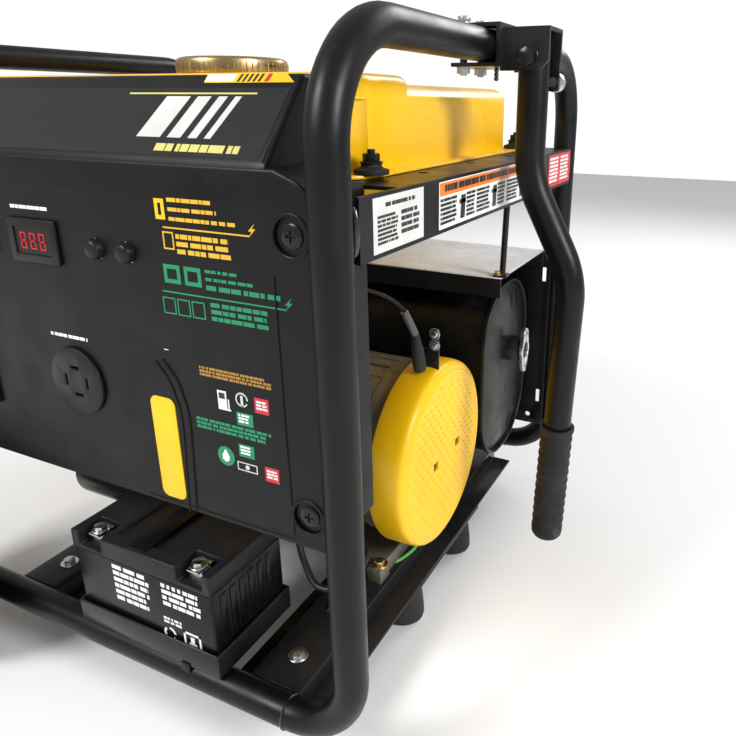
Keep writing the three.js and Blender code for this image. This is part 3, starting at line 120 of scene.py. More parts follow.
class StudioSettings(bpy.types.PropertyGroup):
    """Camera and light."""

    lens: FloatProperty(name="Lens", description="Focal length in millimetres on a 36 mm sensor",
                        default=32.74)
    yaw: FloatProperty(name="Yaw", description="Camera's turn from looking along +Y",
                       default=math.radians(24.743), subtype="ANGLE")
    pitch: FloatProperty(name="Pitch", description="Camera's tilt below the horizon",
                         default=math.radians(18.835), subtype="ANGLE")
    roll: FloatProperty(name="Roll", description="Camera's roll", default=math.radians(-0.37),
                        subtype="ANGLE")
    floor: FloatVectorProperty(name="Floor", description="Floor colour", default=(0.86, 0.86, 0.86),
                               subtype="COLOR")


def sizes():
    return bpy.context.scene.generator_sizes


def colours():
    return bpy.context.scene.generator_colours


# ------------------------------------------------------------------------ modelling helpers
def only(obj):
    """Selects one object and makes it active."""
    bpy.ops.object.select_all(action="DESELECT")
    obj.select_set(True)
    bpy.context.view_layer.objects.active = obj
    return obj


def set_down(obj):
    """Moves an object's place, turn and scale into its mesh."""
    only(obj)
    bpy.ops.object.transform_apply(location=True, rotation=True, scale=True)
    return obj


def block(low, high):
    low, high = Vector(low), Vector(high)
    bpy.ops.mesh.primitive_cube_add(size=1, location=(low + high) / 2, scale=high - low)
    return set_down(bpy.context.active_object)


def rod(start, end, radius, sides=32, end_radius=None):
    """A round bar between two points, or a cone when end_radius is given."""
    start, end = Vector(start), Vector(end)
    run = end - start
    turn = run.to_track_quat("Z", "Y").to_euler()
    last = radius if end_radius is None else end_radius
    bpy.ops.mesh.primitive_cone_add(vertices=sides, radius1=radius, radius2=last, depth=run.length,
                                    location=(start + end) / 2, rotation=turn)
    return set_down(bpy.context.active_object)


def ball(centre, radius, scale=(1, 1, 1), segments=32, rings=16):
    bpy.ops.mesh.primitive_uv_sphere_add(segments=segments, ring_count=rings, radius=radius,
                                         location=centre, scale=scale)
    return set_down(bpy.context.active_object)


def ring(centre, axis, major, minor, scale=(1, 1, 1), around=64, section=12):
    turn = Vector(axis).to_track_quat("Z", "Y").to_euler()
    bpy.ops.mesh.primitive_torus_add(location=(0, 0, 0), rotation=turn, major_radius=major,
                                     minor_radius=minor, major_segments=around, minor_segments=section)
    obj = set_down(bpy.context.active_object)
    obj.scale = scale
    obj.location = centre
    return set_down(obj)


def from_points(points, edges=(), faces=()):
    mesh = bpy.data.meshes.new("outline")
    mesh.from_pydata([Vector(p) for p in points], list(edges), list(faces))
    obj = bpy.data.objects.new("outline", mesh)
    bpy.context.scene.collection.objects.link(obj)
    return only(obj)


def edit_all():
    bpy.ops.object.mode_set(mode="EDIT")
    bpy.ops.mesh.select_all(action="SELECT")


def mend():
    """In edit mode: merges doubles and turns every face outwards."""
    bpy.ops.mesh.select_all(action="SELECT")
    bpy.ops.mesh.remove_doubles(threshold=1e-5)
    bpy.ops.mesh.normals_make_consistent(inside=False)
    bpy.ops.object.mode_set(mode="OBJECT")


def plate(outline, axis, start, end):
    """An outline across an axis, pushed along it; outline pairs are the other two axes in X, Y, Z order."""
    spot = {"x": lambda a, b: (start, a, b), "y": lambda a, b: (a, start, b), "z": lambda a,
            b: (a, b, start)}
    push = {"x": X, "y": Y, "z": Z}[axis] * (end - start)
    obj = from_points([spot[axis](a, b) for a, b in outline], faces=[range(len(outline))])
    edit_all()
    bpy.ops.mesh.extrude_region_move(TRANSFORM_OT_translate={"value": push})
    mend()
    return obj


def turned(profile, origin, axis, steps=64):
    """A profile of (radius, distance along the axis) pairs, spun round the axis."""
    axis = Vector(axis).normalized()
    side = axis.orthogonal().normalized()
    origin = Vector(origin)
    points = [origin + side * r + axis * along for r, along in profile]
    obj = from_points(points, edges=[(i, i + 1) for i in range(len(points) - 1)])
    edit_all()
    bpy.ops.mesh.spin(steps=steps, angle=math.tau, center=origin, axis=axis)
    mend()
    return obj


def arc(centre, radius, start, stop, steps=8):
    """Points on an arc, angles in degrees."""
    sweep = [math.radians(start + (stop - start) * i / steps) for i in range(steps + 1)]
    return [(centre[0] + radius * math.cos(a), centre[1] + radius * math.sin(a)) for a in sweep]


def round_rectangle(low, high, radius, steps=6):
    (u0, v0), (u1, v1) = low, high
    corners = [((u1 - radius, v0 + radius), -90), ((u1 - radius, v1 - radius), 0),
               ((u0 + radius, v1 - radius), 90), ((u0 + radius, v0 + radius), 180)]
    return [p for centre, start in corners for p in arc(centre, radius, start, start + 90, steps)]


def bent(corners, radii, steps=12):
    """A line through corner points, with an arc of the given radius at each inner corner."""
    corners = [Vector(c) for c in corners]
    points = [corners[0]]
    for i, radius in enumerate(radii, start=1):
        back = (corners[i - 1] - corners[i]).normalized()
        ahead = (corners[i + 1] - corners[i]).normalized()
        half = back.angle(ahead) / 2
        centre = corners[i] + (back + ahead).normalized() * radius / math.sin(half)
        first = corners[i] + back * radius / math.tan(half) - centre
        last = corners[i] + ahead * radius / math.tan(half) - centre
        points += [centre + first.slerp(last, s / steps).normalized() * radius for s in range(steps + 1)]
    return points + [corners[-1]]


def tube(points, radius, smooth_path=False, resolution=6):
    """A round tube along points, with closed ends."""
    curve = bpy.data.curves.new("path", "CURVE")
    curve.dimensions = "3D"
    spline = curve.splines.new("NURBS" if smooth_path else "POLY")
    spline.points.add(len(points) - 1)
    for spot, point in zip(spline.points, points):
        spot.co = (*point, 1)
    if smooth_path:
        spline.order_u = 4
        spline.use_endpoint_u = True
    curve.bevel_depth = radius
    curve.bevel_resolution = resolution
    curve.use_fill_caps = True
    obj = bpy.data.objects.new("tube", curve)
    bpy.context.scene.collection.objects.link(obj)
    only(obj)
    bpy.ops.object.convert(target="MESH")
    obj = bpy.context.active_object
    edit_all()
    mend()
    return obj


def finished(obj, kind, **values):
    """Adds a modifier, sets it and applies it."""
    only(obj)
    modifier = obj.modifiers.new(kind.lower(), kind)
    for name, value in values.items():
        setattr(modifier, name, value)
    bpy.ops.object.modifier_apply(modifier=modifier.name)
    return obj


def rounded(obj, width, segments=2, angle=30):
    return finished(obj, "BEVEL", width=width, segments=segments, limit_method="ANGLE",
                    angle_limit=math.radians(angle), use_clamp_overlap=True)


def joined(*objs):
    """Several objects in one mesh."""
    bpy.ops.object.select_all(action="DESELECT")
    for obj in objs:
        obj.select_set(True)
    bpy.context.view_layer.objects.active = objs[0]
    if len(objs) > 1:
        bpy.ops.object.join()
    return bpy.context.active_object


def cut(obj, *tools):
    """Takes each tool's shape out of an object."""
    tool = joined(*tools)
    finished(obj, "BOOLEAN", operation="DIFFERENCE", solver="EXACT", object=tool, use_self=len(tools) > 1)
    bpy.data.objects.remove(tool)
    return obj


def fused(obj, *others):
    other = joined(*others)
    finished(obj, "BOOLEAN", operation="UNION", solver="EXACT", object=other, use_self=len(others) > 1)
    bpy.data.objects.remove(other)
    return obj


def copied(obj, move=(0, 0, 0), turn=None):
    """A copy with its own mesh, moved, or turned by a matrix."""
    other = obj.copy()
    other.data = obj.data.copy()
    bpy.context.scene.collection.objects.link(other)
    other.data.transform(Matrix.Translation(move) @ (turn or Matrix.Identity(4)))
    return other


def around(obj, count, centre, axis):
    """Count copies in a circle, the first one included, joined."""
    centre = Vector(centre)
    copies = [obj]
    for i in range(1, count):
        turn = Matrix.Translation(centre) @ Matrix.Rotation(math.tau * i / count, 4, axis)
        copies.append(copied(obj, turn=turn @ Matrix.Translation(-centre)))
    return joined(*copies)


def cast(node, flat=1.0):
    """A merged copy of a CAD node's mesh, dissolved into flat faces, to start a piece from."""
    obj = bpy.data.objects.new("shell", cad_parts[node].data.copy())
    bpy.context.scene.collection.objects.link(obj)
    only(obj)
    edit_all()
    bpy.ops.mesh.remove_doubles(threshold=1e-5)
    bpy.ops.mesh.dissolve_limited(angle_limit=math.radians(flat))
    mend()
    return obj


def piece(obj, name, material, body="root", stands_for=(), angle=35):
    """Names a finished piece, gives it its material, and sets it on its body."""
    only(obj)
    bpy.ops.object.shade_smooth_by_angle(angle=math.radians(angle))
    obj.name = name
    obj.data.name = name
    obj.data.materials.clear()
    obj.data.materials.append(material)
    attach(obj, body)
    if stands_for:
        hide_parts(*([stands_for] if isinstance(stands_for, str) else stands_for))
    return obj


def hex_bolt(seat, axis, radius, height, washer=0.0):
    """A hexagon head with a chamfered top, standing on a seat, on a washer when one is asked for."""
    seat, axis = Vector(seat), Vector(axis).normalized()
    start = seat + axis * (height * 0.3 if washer else 0)
    head = rod(start, start + axis * height, radius, 6)
    rounded(head, height * 0.12, 2)
    if not washer:
        return head
    flat = rod(seat, start + axis * height * 0.02, washer, 28)
    return joined(head, rounded(flat, height * 0.08, 1))


# ------------------------------------------------------------------------------- materials
class Finish:
    """A procedural material on Object coordinates, put together node by node."""

    def __init__(self, name, colour, roughness, metallic=0.0, **sockets):
        self.material = bpy.data.materials.new(name)
        self.material.use_nodes = True
        self.material.diffuse_color = (*colour, 1)
        self.nodes = self.material.node_tree.nodes
        self.links = self.material.node_tree.links
        self.shader = self.nodes["Principled BSDF"]
        self.colour = (*colour, 1.0)
        self.roughness = roughness
        self.place = self.nodes.new("ShaderNodeTexCoord").outputs["Object"]
        self.feed(self.shader.inputs["Base Color"], self.colour)
        self.feed(self.shader.inputs["Roughness"], roughness)
        self.feed(self.shader.inputs["Metallic"], metallic)
        for socket, value in sockets.items():
            self.feed(self.shader.inputs[socket.replace("_", " ").title().replace("Ior", "IOR")], value)

    def feed(self, socket, value):
        if isinstance(value, bpy.types.NodeSocket):
            self.links.new(value, socket)
        else:
            socket.default_value = value

    def node(self, kind, inputs, out=0, **settings):
        made = self.nodes.new(kind)
        for name, value in settings.items():
            setattr(made, name, value)
        for name, value in inputs.items():
            self.feed(made.inputs[name], value)
        return made.outputs[out]

    def stretched(self, scale):
        return self.node("ShaderNodeMapping", {"Vector": self.place, "Scale": scale})

    def noise(self, scale, detail=3.0, vector=None):
        return self.node("ShaderNodeTexNoise", {"Vector": vector or self.place, "Scale": scale,
                                                "Detail": detail})

    def cells(self, scale, out=0, vector=None, **settings):
        return self.node("ShaderNodeTexVoronoi", {"Vector": vector or self.place, "Scale": scale}, out,
                         **settings)

    def between(self, fac, low, high, start=0.35, stop=0.65):
        inputs = {"Value": fac, "From Min": start, "From Max": stop, "To Min": low, "To Max": high}
        return self.node("ShaderNodeMapRange", inputs)

    def mixed(self, fac, first, second):
        return self.node("ShaderNodeMix", {0: fac, 6: first, 7: second}, 2, data_type="RGBA")

    def shade(self, factor):
        return tuple(min(1.0, c * factor) for c in self.colour[:3]) + (1.0,)

    def vary(self, scale, amount, rough=0.08):
        """Soft light and dark patches in the colour, with the roughness following them."""
        patches = self.noise(scale)
        fac = self.between(patches, 0.0, 1.0, 0.3, 0.7)
        self.feed(self.shader.inputs["Base Color"],
                  self.mixed(fac, self.shade(1 - amount), self.shade(1 + amount)))
        low, high = max(0.02, self.roughness - rough), min(1.0, self.roughness + rough)
        self.feed(self.shader.inputs["Roughness"], self.between(self.noise(scale * 3.1), low, high))
        return self

    def spots(self, colour, scale, start, stop, detail=6.0):
        """Dust, stains or flecks of another colour laid over what is there."""
        base = self.shader.inputs["Base Color"]
        under = base.links[0].from_socket if base.links else self.colour
        fac = self.between(self.noise(scale, detail), 0.0, 1.0, start, stop)
        self.feed(base, self.mixed(fac, under, (*colour, 1.0)))
        return self

    def grain(self, height, depth, strength=1.0):
        """Bump from a height output; calls add up."""
        normal = self.shader.inputs["Normal"]
        inputs = {"Height": height, "Distance": depth, "Strength": strength}
        if normal.links:
            inputs["Normal"] = normal.links[0].from_socket
        self.feed(normal, self.node("ShaderNodeBump", inputs))
        return self


def frame_paint(name="frame_paint", colour=None, roughness=0.36):
    look = Finish(name, colour or colours().frame_black, roughness, specular_ior_level=0.24)
    look.vary(9, 0.3, 0.06)
    look.spots((0.012, 0.012, 0.0125), 60, 0.68, 0.8)
    return look.grain(look.noise(900, 2), 0.05 * MM, 0.5).grain(look.noise(120, 2), 0.06 * MM, 0.4).material


def heat_paint():
    look = Finish("heat_paint", (0.006, 0.006, 0.006), 0.36, specular_ior_level=0.32)
    look.vary(14, 0.35, 0.08).spots((0.026, 0.022, 0.017), 35, 0.6, 0.8)
    return look.grain(look.noise(700, 3), 0.12 * MM, 0.6).material


def yellow_enamel():
    look = Finish("yellow_enamel", colours().yellow, 0.3, specular_ior_level=0.35, coat_weight=0.25,
                  coat_roughness=0.12)
    look.vary(5, 0.05, 0.05).spots((0.75, 0.36, 0.01), 24, 0.62, 0.85)
    return look.grain(look.noise(160, 2), 0.05 * MM, 0.35).material


def yellow_plastic():
    look = Finish("yellow_plastic", colours().yellow, 0.36, specular_ior_level=0.45)
    look.vary(12, 0.07, 0.07).spots((0.62, 0.33, 0.03), 40, 0.66, 0.85)
    return look.grain(look.noise(1100, 2), 0.05 * MM, 0.6).material


def moulded(name, colour, roughness, depth=0.1, scale=1400, amount=0.16):
    look = Finish(name, colour, roughness, specular_ior_level=0.22)
    look.vary(10, amount, 0.06).spots(tuple(c * 1.8 + 0.004 for c in colour), 75, 0.68, 0.82)
    return look.grain(look.cells(scale), depth * MM, 0.5).material


def rubber(name="rubber", colour=(0.02, 0.02, 0.021)):
    look = Finish(name, colour, 0.72, specular_ior_level=0.35)
    look.vary(20, 0.3, 0.1).spots((0.075, 0.07, 0.062), 50, 0.6, 0.8)
    return look.grain(look.noise(600, 4), 0.18 * MM, 0.6).material


def metal(name, colour, roughness, stretch=(1, 1, 1), amount=0.12, scale=300, depth=0.04):
    look = Finish(name, colour, roughness, 1.0)
    look.vary(30, amount, 0.1)
    lines = look.noise(scale, 3, look.stretched(stretch))
    return look.grain(lines, depth * MM, 0.6).material


def casting():
    look = Finish("casting", colours().casting, 0.5, 0.75)
    look.vary(16, 0.22, 0.1).spots((0.07, 0.062, 0.045), 30, 0.56, 0.8)
    return look.grain(look.noise(900, 5), 0.25 * MM, 0.7).grain(look.noise(90, 2), 0.2 * MM, 0.4).material


def galvanised():
    look = Finish("galvanised", (0.74, 0.74, 0.76), 0.4, 0.15)
    spangle = look.between(look.cells(70, 1), 0.0, 1.0, 0.0, 1.0)
    look.feed(look.shader.inputs["Base Color"], look.mixed(spangle, look.shade(0.93), look.shade(1.05)))
    look.feed(look.shader.inputs["Roughness"], look.between(look.noise(40), 0.26, 0.44))
    return look.grain(look.noise(200, 3), 0.04 * MM, 0.4).material


def ink(name, colour, roughness=0.4):
    look = Finish(name, colour, roughness)
    look.vary(40, 0.08, 0.05)
    return look.grain(look.noise(1500, 2), 0.02 * MM, 0.3).material


def copper_wire():
    look = Finish("copper_wire", (0.46, 0.17, 0.06), 0.35, 0.9)
    look.vary(40, 0.25, 0.1)
    turns = look.node("ShaderNodeTexWave", {"Vector": look.place, "Scale": 260}, 1, bands_direction="X")
    return look.grain(turns, 0.3 * MM, 0.8).material


class Looks:
    """Every material, made once when it is first asked for."""

    makers = {
        "paint": frame_paint,
        "gloss_paint": lambda: frame_paint("gloss_paint", (0.012, 0.012, 0.013), 0.2),
        "heat_paint": heat_paint,
        "enamel": yellow_enamel,
        "yellow": yellow_plastic,
        "panel": lambda: moulded("panel_plastic", colours().panel, 0.42),
        "hood": lambda: moulded("hood_plastic", colours().hood, 0.52, 0.16, 900),
        "plastic": lambda: moulded("black_plastic", (0.009, 0.009, 0.01), 0.36, 0.08),
        "battery": lambda: moulded("battery_case", (0.013, 0.013, 0.0155), 0.34, 0.06, 1800),
        "battery_side": lambda: moulded("battery_side", (0.004, 0.004, 0.0055), 0.24, 0.05, 1800),
        "tyre": lambda: rubber("tyre_rubber", (0.018, 0.018, 0.018)),
        "rubber": rubber,
        "grip": lambda: rubber("grip_rubber", (0.014, 0.014, 0.015)),
        "cable": lambda: moulded("cable_sheath", (0.01, 0.01, 0.011), 0.33, 0.03, 900),
        "red_cable": lambda: moulded("red_cable", (0.42, 0.02, 0.015), 0.4, 0.03, 900),
        "earth": lambda: moulded("earth_wire", (0.1, 0.42, 0.08), 0.4, 0.03, 900),
        "zinc": lambda: metal("zinc_plate", (0.62, 0.63, 0.63), 0.28),
        "gold_zinc": lambda: metal("gold_zinc", (0.66, 0.52, 0.22), 0.3),
        "brass": lambda: metal("cap_metal", (0.42, 0.30, 0.14), 0.3, (1, 1, 6)),
        "steel": lambda: metal("turned_steel", (0.5, 0.5, 0.5), 0.25, (8, 1, 1)),
        "iron": lambda: metal("cast_iron", (0.09, 0.09, 0.095), 0.5, depth=0.2, scale=500),
        "casting": casting,
        "galvanised": galvanised,
        "copper": copper_wire,
        "weld": lambda: metal("weld_bead", (0.08, 0.08, 0.085), 0.22, depth=0.3, scale=900),
        "red": lambda: moulded("red_plastic", (0.5, 0.015, 0.012), 0.3, 0.04),
        "white_ink": lambda: ink("white_ink", (0.78, 0.78, 0.76)),
        "grey_label": lambda: ink("grey_label", (0.62, 0.63, 0.60)),
        "orange_ink": lambda: ink("orange_ink", (0.83, 0.19, 0.015)),
        "red_ink": lambda: ink("red_ink", (0.55, 0.02, 0.025)),
        "black_ink": lambda: ink("black_ink", (0.015, 0.015, 0.016)),
        "yellow_ink": lambda: ink("yellow_ink", (0.72, 0.42, 0.02)),
        "pale_ink": lambda: ink("pale_yellow_ink", (0.62, 0.58, 0.16)),
        "green_ink": lambda: ink("green_ink", (0.0, 0.22, 0.09)),
        "amber_ink": lambda: ink("amber_ink", (0.36, 0.18, 0.02)),
        "sleeve": lambda: ink("clear_sleeve", (0.1, 0.1, 0.095), 0.12),
    }
    made = {}

    @classmethod
    def get(cls, name):
        if name not in cls.made:
            cls.made[name] = cls.makers[name]()
        return cls.made[name]


look = Looks.get


def at(x, y, z):
    """A point in the frame's axes, given in millimetres."""
    return Vector((x, y, z)) * MM


def prints(shapes, axis, level, lift=0.2 * MM):
    """Printed shapes: outlines in millimetres on a plane across an axis, standing a hair off it."""
    place = {"x": lambda a, b: at(level, a, b), "y": lambda a, b: at(a, level, b)}[axis]
    points, faces = [], []
    for outline in shapes:
        faces.append(range(len(points), len(points) + len(outline)))
        points += [place(a, b) for a, b in outline]
    obj = from_points(points, faces=faces)
    edit_all()
    bpy.ops.mesh.normals_make_consistent(inside=False)
    out = {"x": X, "y": -Y}[axis] * lift
    bpy.ops.mesh.extrude_region_move(TRANSFORM_OT_translate={"value": out})
    bpy.ops.mesh.select_all(action="SELECT")
    bpy.ops.mesh.normals_make_consistent(inside=False)
    bpy.ops.object.mode_set(mode="OBJECT")
    return obj


def bar_shape(u0, v0, u1, v1, slant=0.0):
    return [(u0, v0), (u1, v0), (u1 + slant, v1), (u0 + slant, v1)]


def rows(left, right, top, bottom, count, seed, fill=0.62):
    """Rows of short printed strokes that stand in for small type."""
    pick = random.Random(seed)
    pitch = (top - bottom) / count
    marks = []
    for row in range(count):
        z = top - pitch * (row + fill)
        u = left
        stop = right - pick.uniform(0, 0.16) * (right - left)
        while u < stop:
            width = min(pick.uniform(0.7, 3.4) * pitch * 0.62, stop - u)
            marks.append(bar_shape(u, z, u + width, z + pitch * fill))
            u += width + pitch * pick.choice((0.16, 0.16, 0.42))
    return marks


def face_towards(obj, normal, reach=1e-4):
    """In edit mode: selects the faces furthest along a normal."""
    bpy.ops.object.mode_set(mode="OBJECT")
    normal = Vector(normal)
    furthest = max(v.co.dot(normal) for v in obj.data.vertices)
    for face in obj.data.polygons:
        face.select = face.normal.dot(normal) > 0.9 and face.center.dot(normal) > furthest - reach
    for edge in obj.data.edges:
        edge.select = False
    for vertex in obj.data.vertices:
        vertex.select = False
    for face in obj.data.polygons:
        if face.select:
            for index in face.vertices:
                obj.data.vertices[index].select = True
    bpy.ops.object.mode_set(mode="EDIT")
    bpy.ops.mesh.select_mode(type="FACE")


def stepped_face(obj, normal, steps):
    """Insets the end face again and again; each step is (inset, height)."""
    only(obj)
    edit_all()
    face_towards(obj, normal)
    for inset, height in steps:
        bpy.ops.mesh.inset(thickness=inset, depth=height)
    bpy.ops.mesh.select_mode(type="VERT")
    bpy.ops.object.mode_set(mode="OBJECT")
    return obj


# --------------------------------------------------------------------------- the studio
def lamp(name, place, target, size, energy):
    bpy.ops.object.light_add(type="AREA", location=place)
    light = bpy.context.active_object
    light.name = name
    light.data.energy = energy
    light.data.size = size
    light.rotation_euler = (Vector(target) - Vector(place)).to_track_quat("-Z", "Y").to_euler()


class GENERATOR_OT_stage(bpy.types.Operator):
    """Camera, soft lights and a pale floor"""

    bl_idname = "generator.stage"
    bl_label = "Studio"

    def execute(self, context):
        studio = context.scene.studio_settings
        forward = Vector((-math.sin(studio.yaw) * math.cos(studio.pitch),
                          math.cos(studio.yaw) * math.cos(studio.pitch), -math.sin(studio.pitch)))
        right = Vector((math.cos(studio.yaw), math.sin(studio.yaw), 0))
        down = forward.cross(right)
        across = right * math.cos(studio.roll) + down * math.sin(studio.roll)
        drop = down * math.cos(studio.roll) - right * math.sin(studio.roll)
        stand = Matrix((across, -drop, -forward)).transposed().to_4x4()
        stand.translation = at(445.3, -559.4, 502.8)
        bpy.ops.object.camera_add()
        camera = context.active_object
        camera.matrix_world = stand
        camera.data.lens = studio.lens
        camera.data.shift_x = -0.0961
        camera.data.shift_y = -0.0525
        camera.data.clip_start = 10 * MM
        context.scene.camera = camera
        bpy.ops.mesh.primitive_plane_add(size=9, location=(0, 0, -1 * MM))
        floor = set_down(context.active_object)
        floor.name = "studio_floor"
        finish = Finish("floor_paper", tuple(studio.floor), 0.9)
        floor.data.materials.append(finish.vary(3, 0.01, 0.02).material)
        world = bpy.data.worlds.new("studio_world")
        world.use_nodes = True
        world.node_tree.nodes["Background"].inputs["Color"].default_value = (1, 1, 1, 1)
        background = world.node_tree.nodes["Background"]
        rays = world.node_tree.nodes.new("ShaderNodeLightPath")
        strength = world.node_tree.nodes.new("ShaderNodeMapRange")
        strength.inputs["To Min"].default_value = 0.52
        strength.inputs["To Max"].default_value = 1.05
        world.node_tree.links.new(rays.outputs["Is Camera Ray"], strength.inputs["Value"])
        world.node_tree.links.new(strength.outputs["Result"], background.inputs["Strength"])
        context.scene.view_settings.view_transform = "Standard"
        context.scene.world = world
        lamp("key_light", (-0.9, -1.9, 1.9), (0, 0, 0.3), 0.9, 52)
        lamp("side_light", (2.1, -0.5, 1.3), (0.1, 0, 0.3), 0.6, 36)
        lamp("back_light", (0.6, 2.0, 1.6), (0, 0, 0.3), 1.0, 22)
        return {"FINISHED"}


# --------------------------------------------------------------------- battery and leads
def route(points, steps=9):
    """A smooth line through points."""
    ends = [points[0] * 2 - points[1], *points, points[-1] * 2 - points[-2]]
    line = []
    for a, b, c, d in zip(ends, ends[1:], ends[2:], ends[3:]):
        for i in range(steps):
            t = i / steps
            line.append(0.5 * (2 * b + (c - a) * t + (2 * a - 5 * b + 4 * c - d) * t ** 2
                               + (3 * b - a - 3 * c + d) * t ** 3))
    return line + [points[-1]]


class GENERATOR_OT_leads(bpy.types.Operator):
    """Battery leads, earth wire and the cable from the alternator"""

    bl_idname = "generator.leads"
    bl_label = "Leads"

    def execute(self, context):
        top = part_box("battery")[1].z / MM
        right, front = RIGHT / MM, FRONT / MM
        routes = {
            "negative": [(-128, 86, -8), (-110, 86, -12), (-94, 76, -32), (-76, 68, -46),
                         (-56, 72, -44), (-46, 88, -34), (-50, 106, -34), (-62, 120, -40)],
            "positive": [(-256, 86, -8), (-266, 92, 2), (-284, 102, 13), (-299, 104, 15.5)],
        }
        for name, points in routes.items():
            line = route([at(right + x, front + y, top + z) for x, y, z in points])
            colour = look("red_cable" if name == "positive" else "cable")
            lead = piece(tube(line, 2.9 * MM, resolution=4), f"{name}_cable", colour,
                         stands_for=f"{name}_lead")
        wire = route([at(168, -70, 62), at(176, -58, 64), at(183, -44, 70), at(180, -34, 76),
                      at(170, -36, 76),
                      at(163, -48, 69), at(158, -56, 63)])
        piece(tube(wire, 1.6 * MM, resolution=3), "earth_wire", look("earth"))
        boot_line = route([at(190, -49, 296), at(176, -56, 329), at(155, -90, 352), at(120, -150, 366),
                           at(96, -186, 370)])
        piece(tube(boot_line, 1.9 * MM, resolution=3), "field_cable", look("cable"))
        boot = turned([(0, 0), (5.5 * MM, 0), (6.5 * MM, 8 * MM), (5.6 * MM, 22 * MM), (4.2 * MM, 30 * MM),
                       (3.4 * MM, 36 * MM), (0, 36 * MM)], at(191, -48, 268), at(-3, -2, 30), 24)
        piece(boot, "cable_boot", look("rubber"))
        sleeve = turned([(0, 0), (3.6 * MM, 0), (3.8 * MM, 12 * MM), (3.6 * MM, 24 * MM), (0, 24 * MM)],
                        at(187.6, -50.4, 303), at(-8, -4, 20), 20)
        piece(sleeve, "cable_sleeve", look("sleeve"))
        return {"FINISHED"}


class GENERATOR_OT_battery(bpy.types.Operator):
    """Battery with its lid, terminals and label, in a folded tray"""

    bl_idname = "generator.battery"
    bl_label = "Battery"

    def execute(self, context):
        low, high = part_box("battery")
        seam = high.z - 17 * MM
        case = rounded(block(low + at(1, 1, 0), (high.x - 1 * MM, high.y - 1 * MM, seam)), 2.2 * MM, 3)
        lid = block((low.x, low.y, seam), high)
        for x0, x1 in ((low.x + 8 * MM, low.x + 34 * MM), (high.x - 34 * MM, high.x - 8 * MM)):
            lid = cut(lid, block((x0, low.y - 1 * MM, high.z - 14 * MM),
                                 (x1, low.y + 24 * MM, high.z + 1 * MM)))
        lid = cut(lid, block((low.x + 42 * MM, low.y + 12 * MM, high.z - 3 * MM),
                             (high.x - 42 * MM, high.y - 12 * MM, high.z + 1 * MM)))
        piece(rounded(lid, 1.4 * MM, 3), "battery_lid", look("battery"))
        ribs = [block((high.x - 1.4 * MM, y * MM, low.z + 24 * MM),
                      (high.x - 0.2 * MM, (y + 7) * MM, seam - 6 * MM))
                for y in range(-246, -180, 11)]
        ribs = rounded(joined(*ribs), 0.5 * MM, 2)
        piece(joined(case, ribs), "battery_case", look("battery_side"),
              stands_for="battery")
        face = low.y / MM + 0.9
        marks = rows(64, 104, 141, 118, 4, 7) + rows(62, 84, 108, 101, 2, 9)
        marks += rows(10, 50, 141, 104, 6, 5)
        piece(prints(marks, "y", face), "battery_label", look("white_ink"))
        icon = [arc((67, 92), 6.6, a, a + 80, 6) + arc((67, 92), 4.4, a + 80, a, 6) for a in (10, 130, 250)]
        box = [bar_shape(82, 85, 100, 87), bar_shape(82, 99, 100, 101), bar_shape(82, 85, 84, 101),
               bar_shape(98, 85, 100, 101), bar_shape(87, 89, 95, 91), bar_shape(89, 91, 93, 97)]
        piece(prints(icon + box, "y", face), "battery_symbols", look("white_ink"))
        posts = []
        for x in (low.x + 21 * MM, high.x - 21 * MM):
            seat = Vector((x, low.y + 13 * MM, high.z - 14 * MM))
            post = rounded(block(seat + at(-7, -5, 0), seat + at(7, 6, 9)), 1.2 * MM, 2)
            strap = rounded(block(seat + at(-6, -8, 9), seat + at(6, 9, 11)), 0.6 * MM, 2)
            posts += [post, strap, hex_bolt(seat + at(0, 0, 11), Z, 5.4 * MM, 3.6 * MM, 7 * MM)]
        piece(joined(*posts), "battery_terminals", look("steel"))
        tray = rounded(cast("battery_tray", 3), 0.8 * MM, 2)
        piece(tray, "battery_tray_sheet", look("gloss_paint"),
              stands_for="battery_tray")
        clip = rounded(block(at(79, -259.6, 58), at(88, -257.8, 72)), 0.8 * MM, 2)
        piece(clip, "battery_clip", look("paint"))
        strap = rounded(block((30 * MM, low.y + 2 * MM, high.z),
                              (48 * MM, high.y - 2 * MM, high.z + 1.6 * MM)),
                        0.6 * MM, 2)
        drop = rounded(block((30 * MM, high.y, 72 * MM), (48 * MM, high.y + 1.6 * MM, high.z + 1.6 * MM)),
                       0.6 * MM, 2)
        piece(joined(strap, drop), "battery_clamp", look("paint"))
        return {"FINISHED"}


# -------------------------------------------------------------------------- tube frame
def hoop(plane, inward):
    bend = sizes().foot_bend
    stub = plane + inward * bend
    corners = [(stub, FRONT, RAIL), (plane, FRONT, RAIL), (plane, FRONT, TOP), (plane, BACK, TOP),
               (plane, BACK, RAIL), (stub, BACK, RAIL)]
    foot = bend - 1 * MM
    return tube(bent(corners, [foot, sizes().top_bend, sizes().top_bend, foot], 14), TUBE_R, resolution=8)


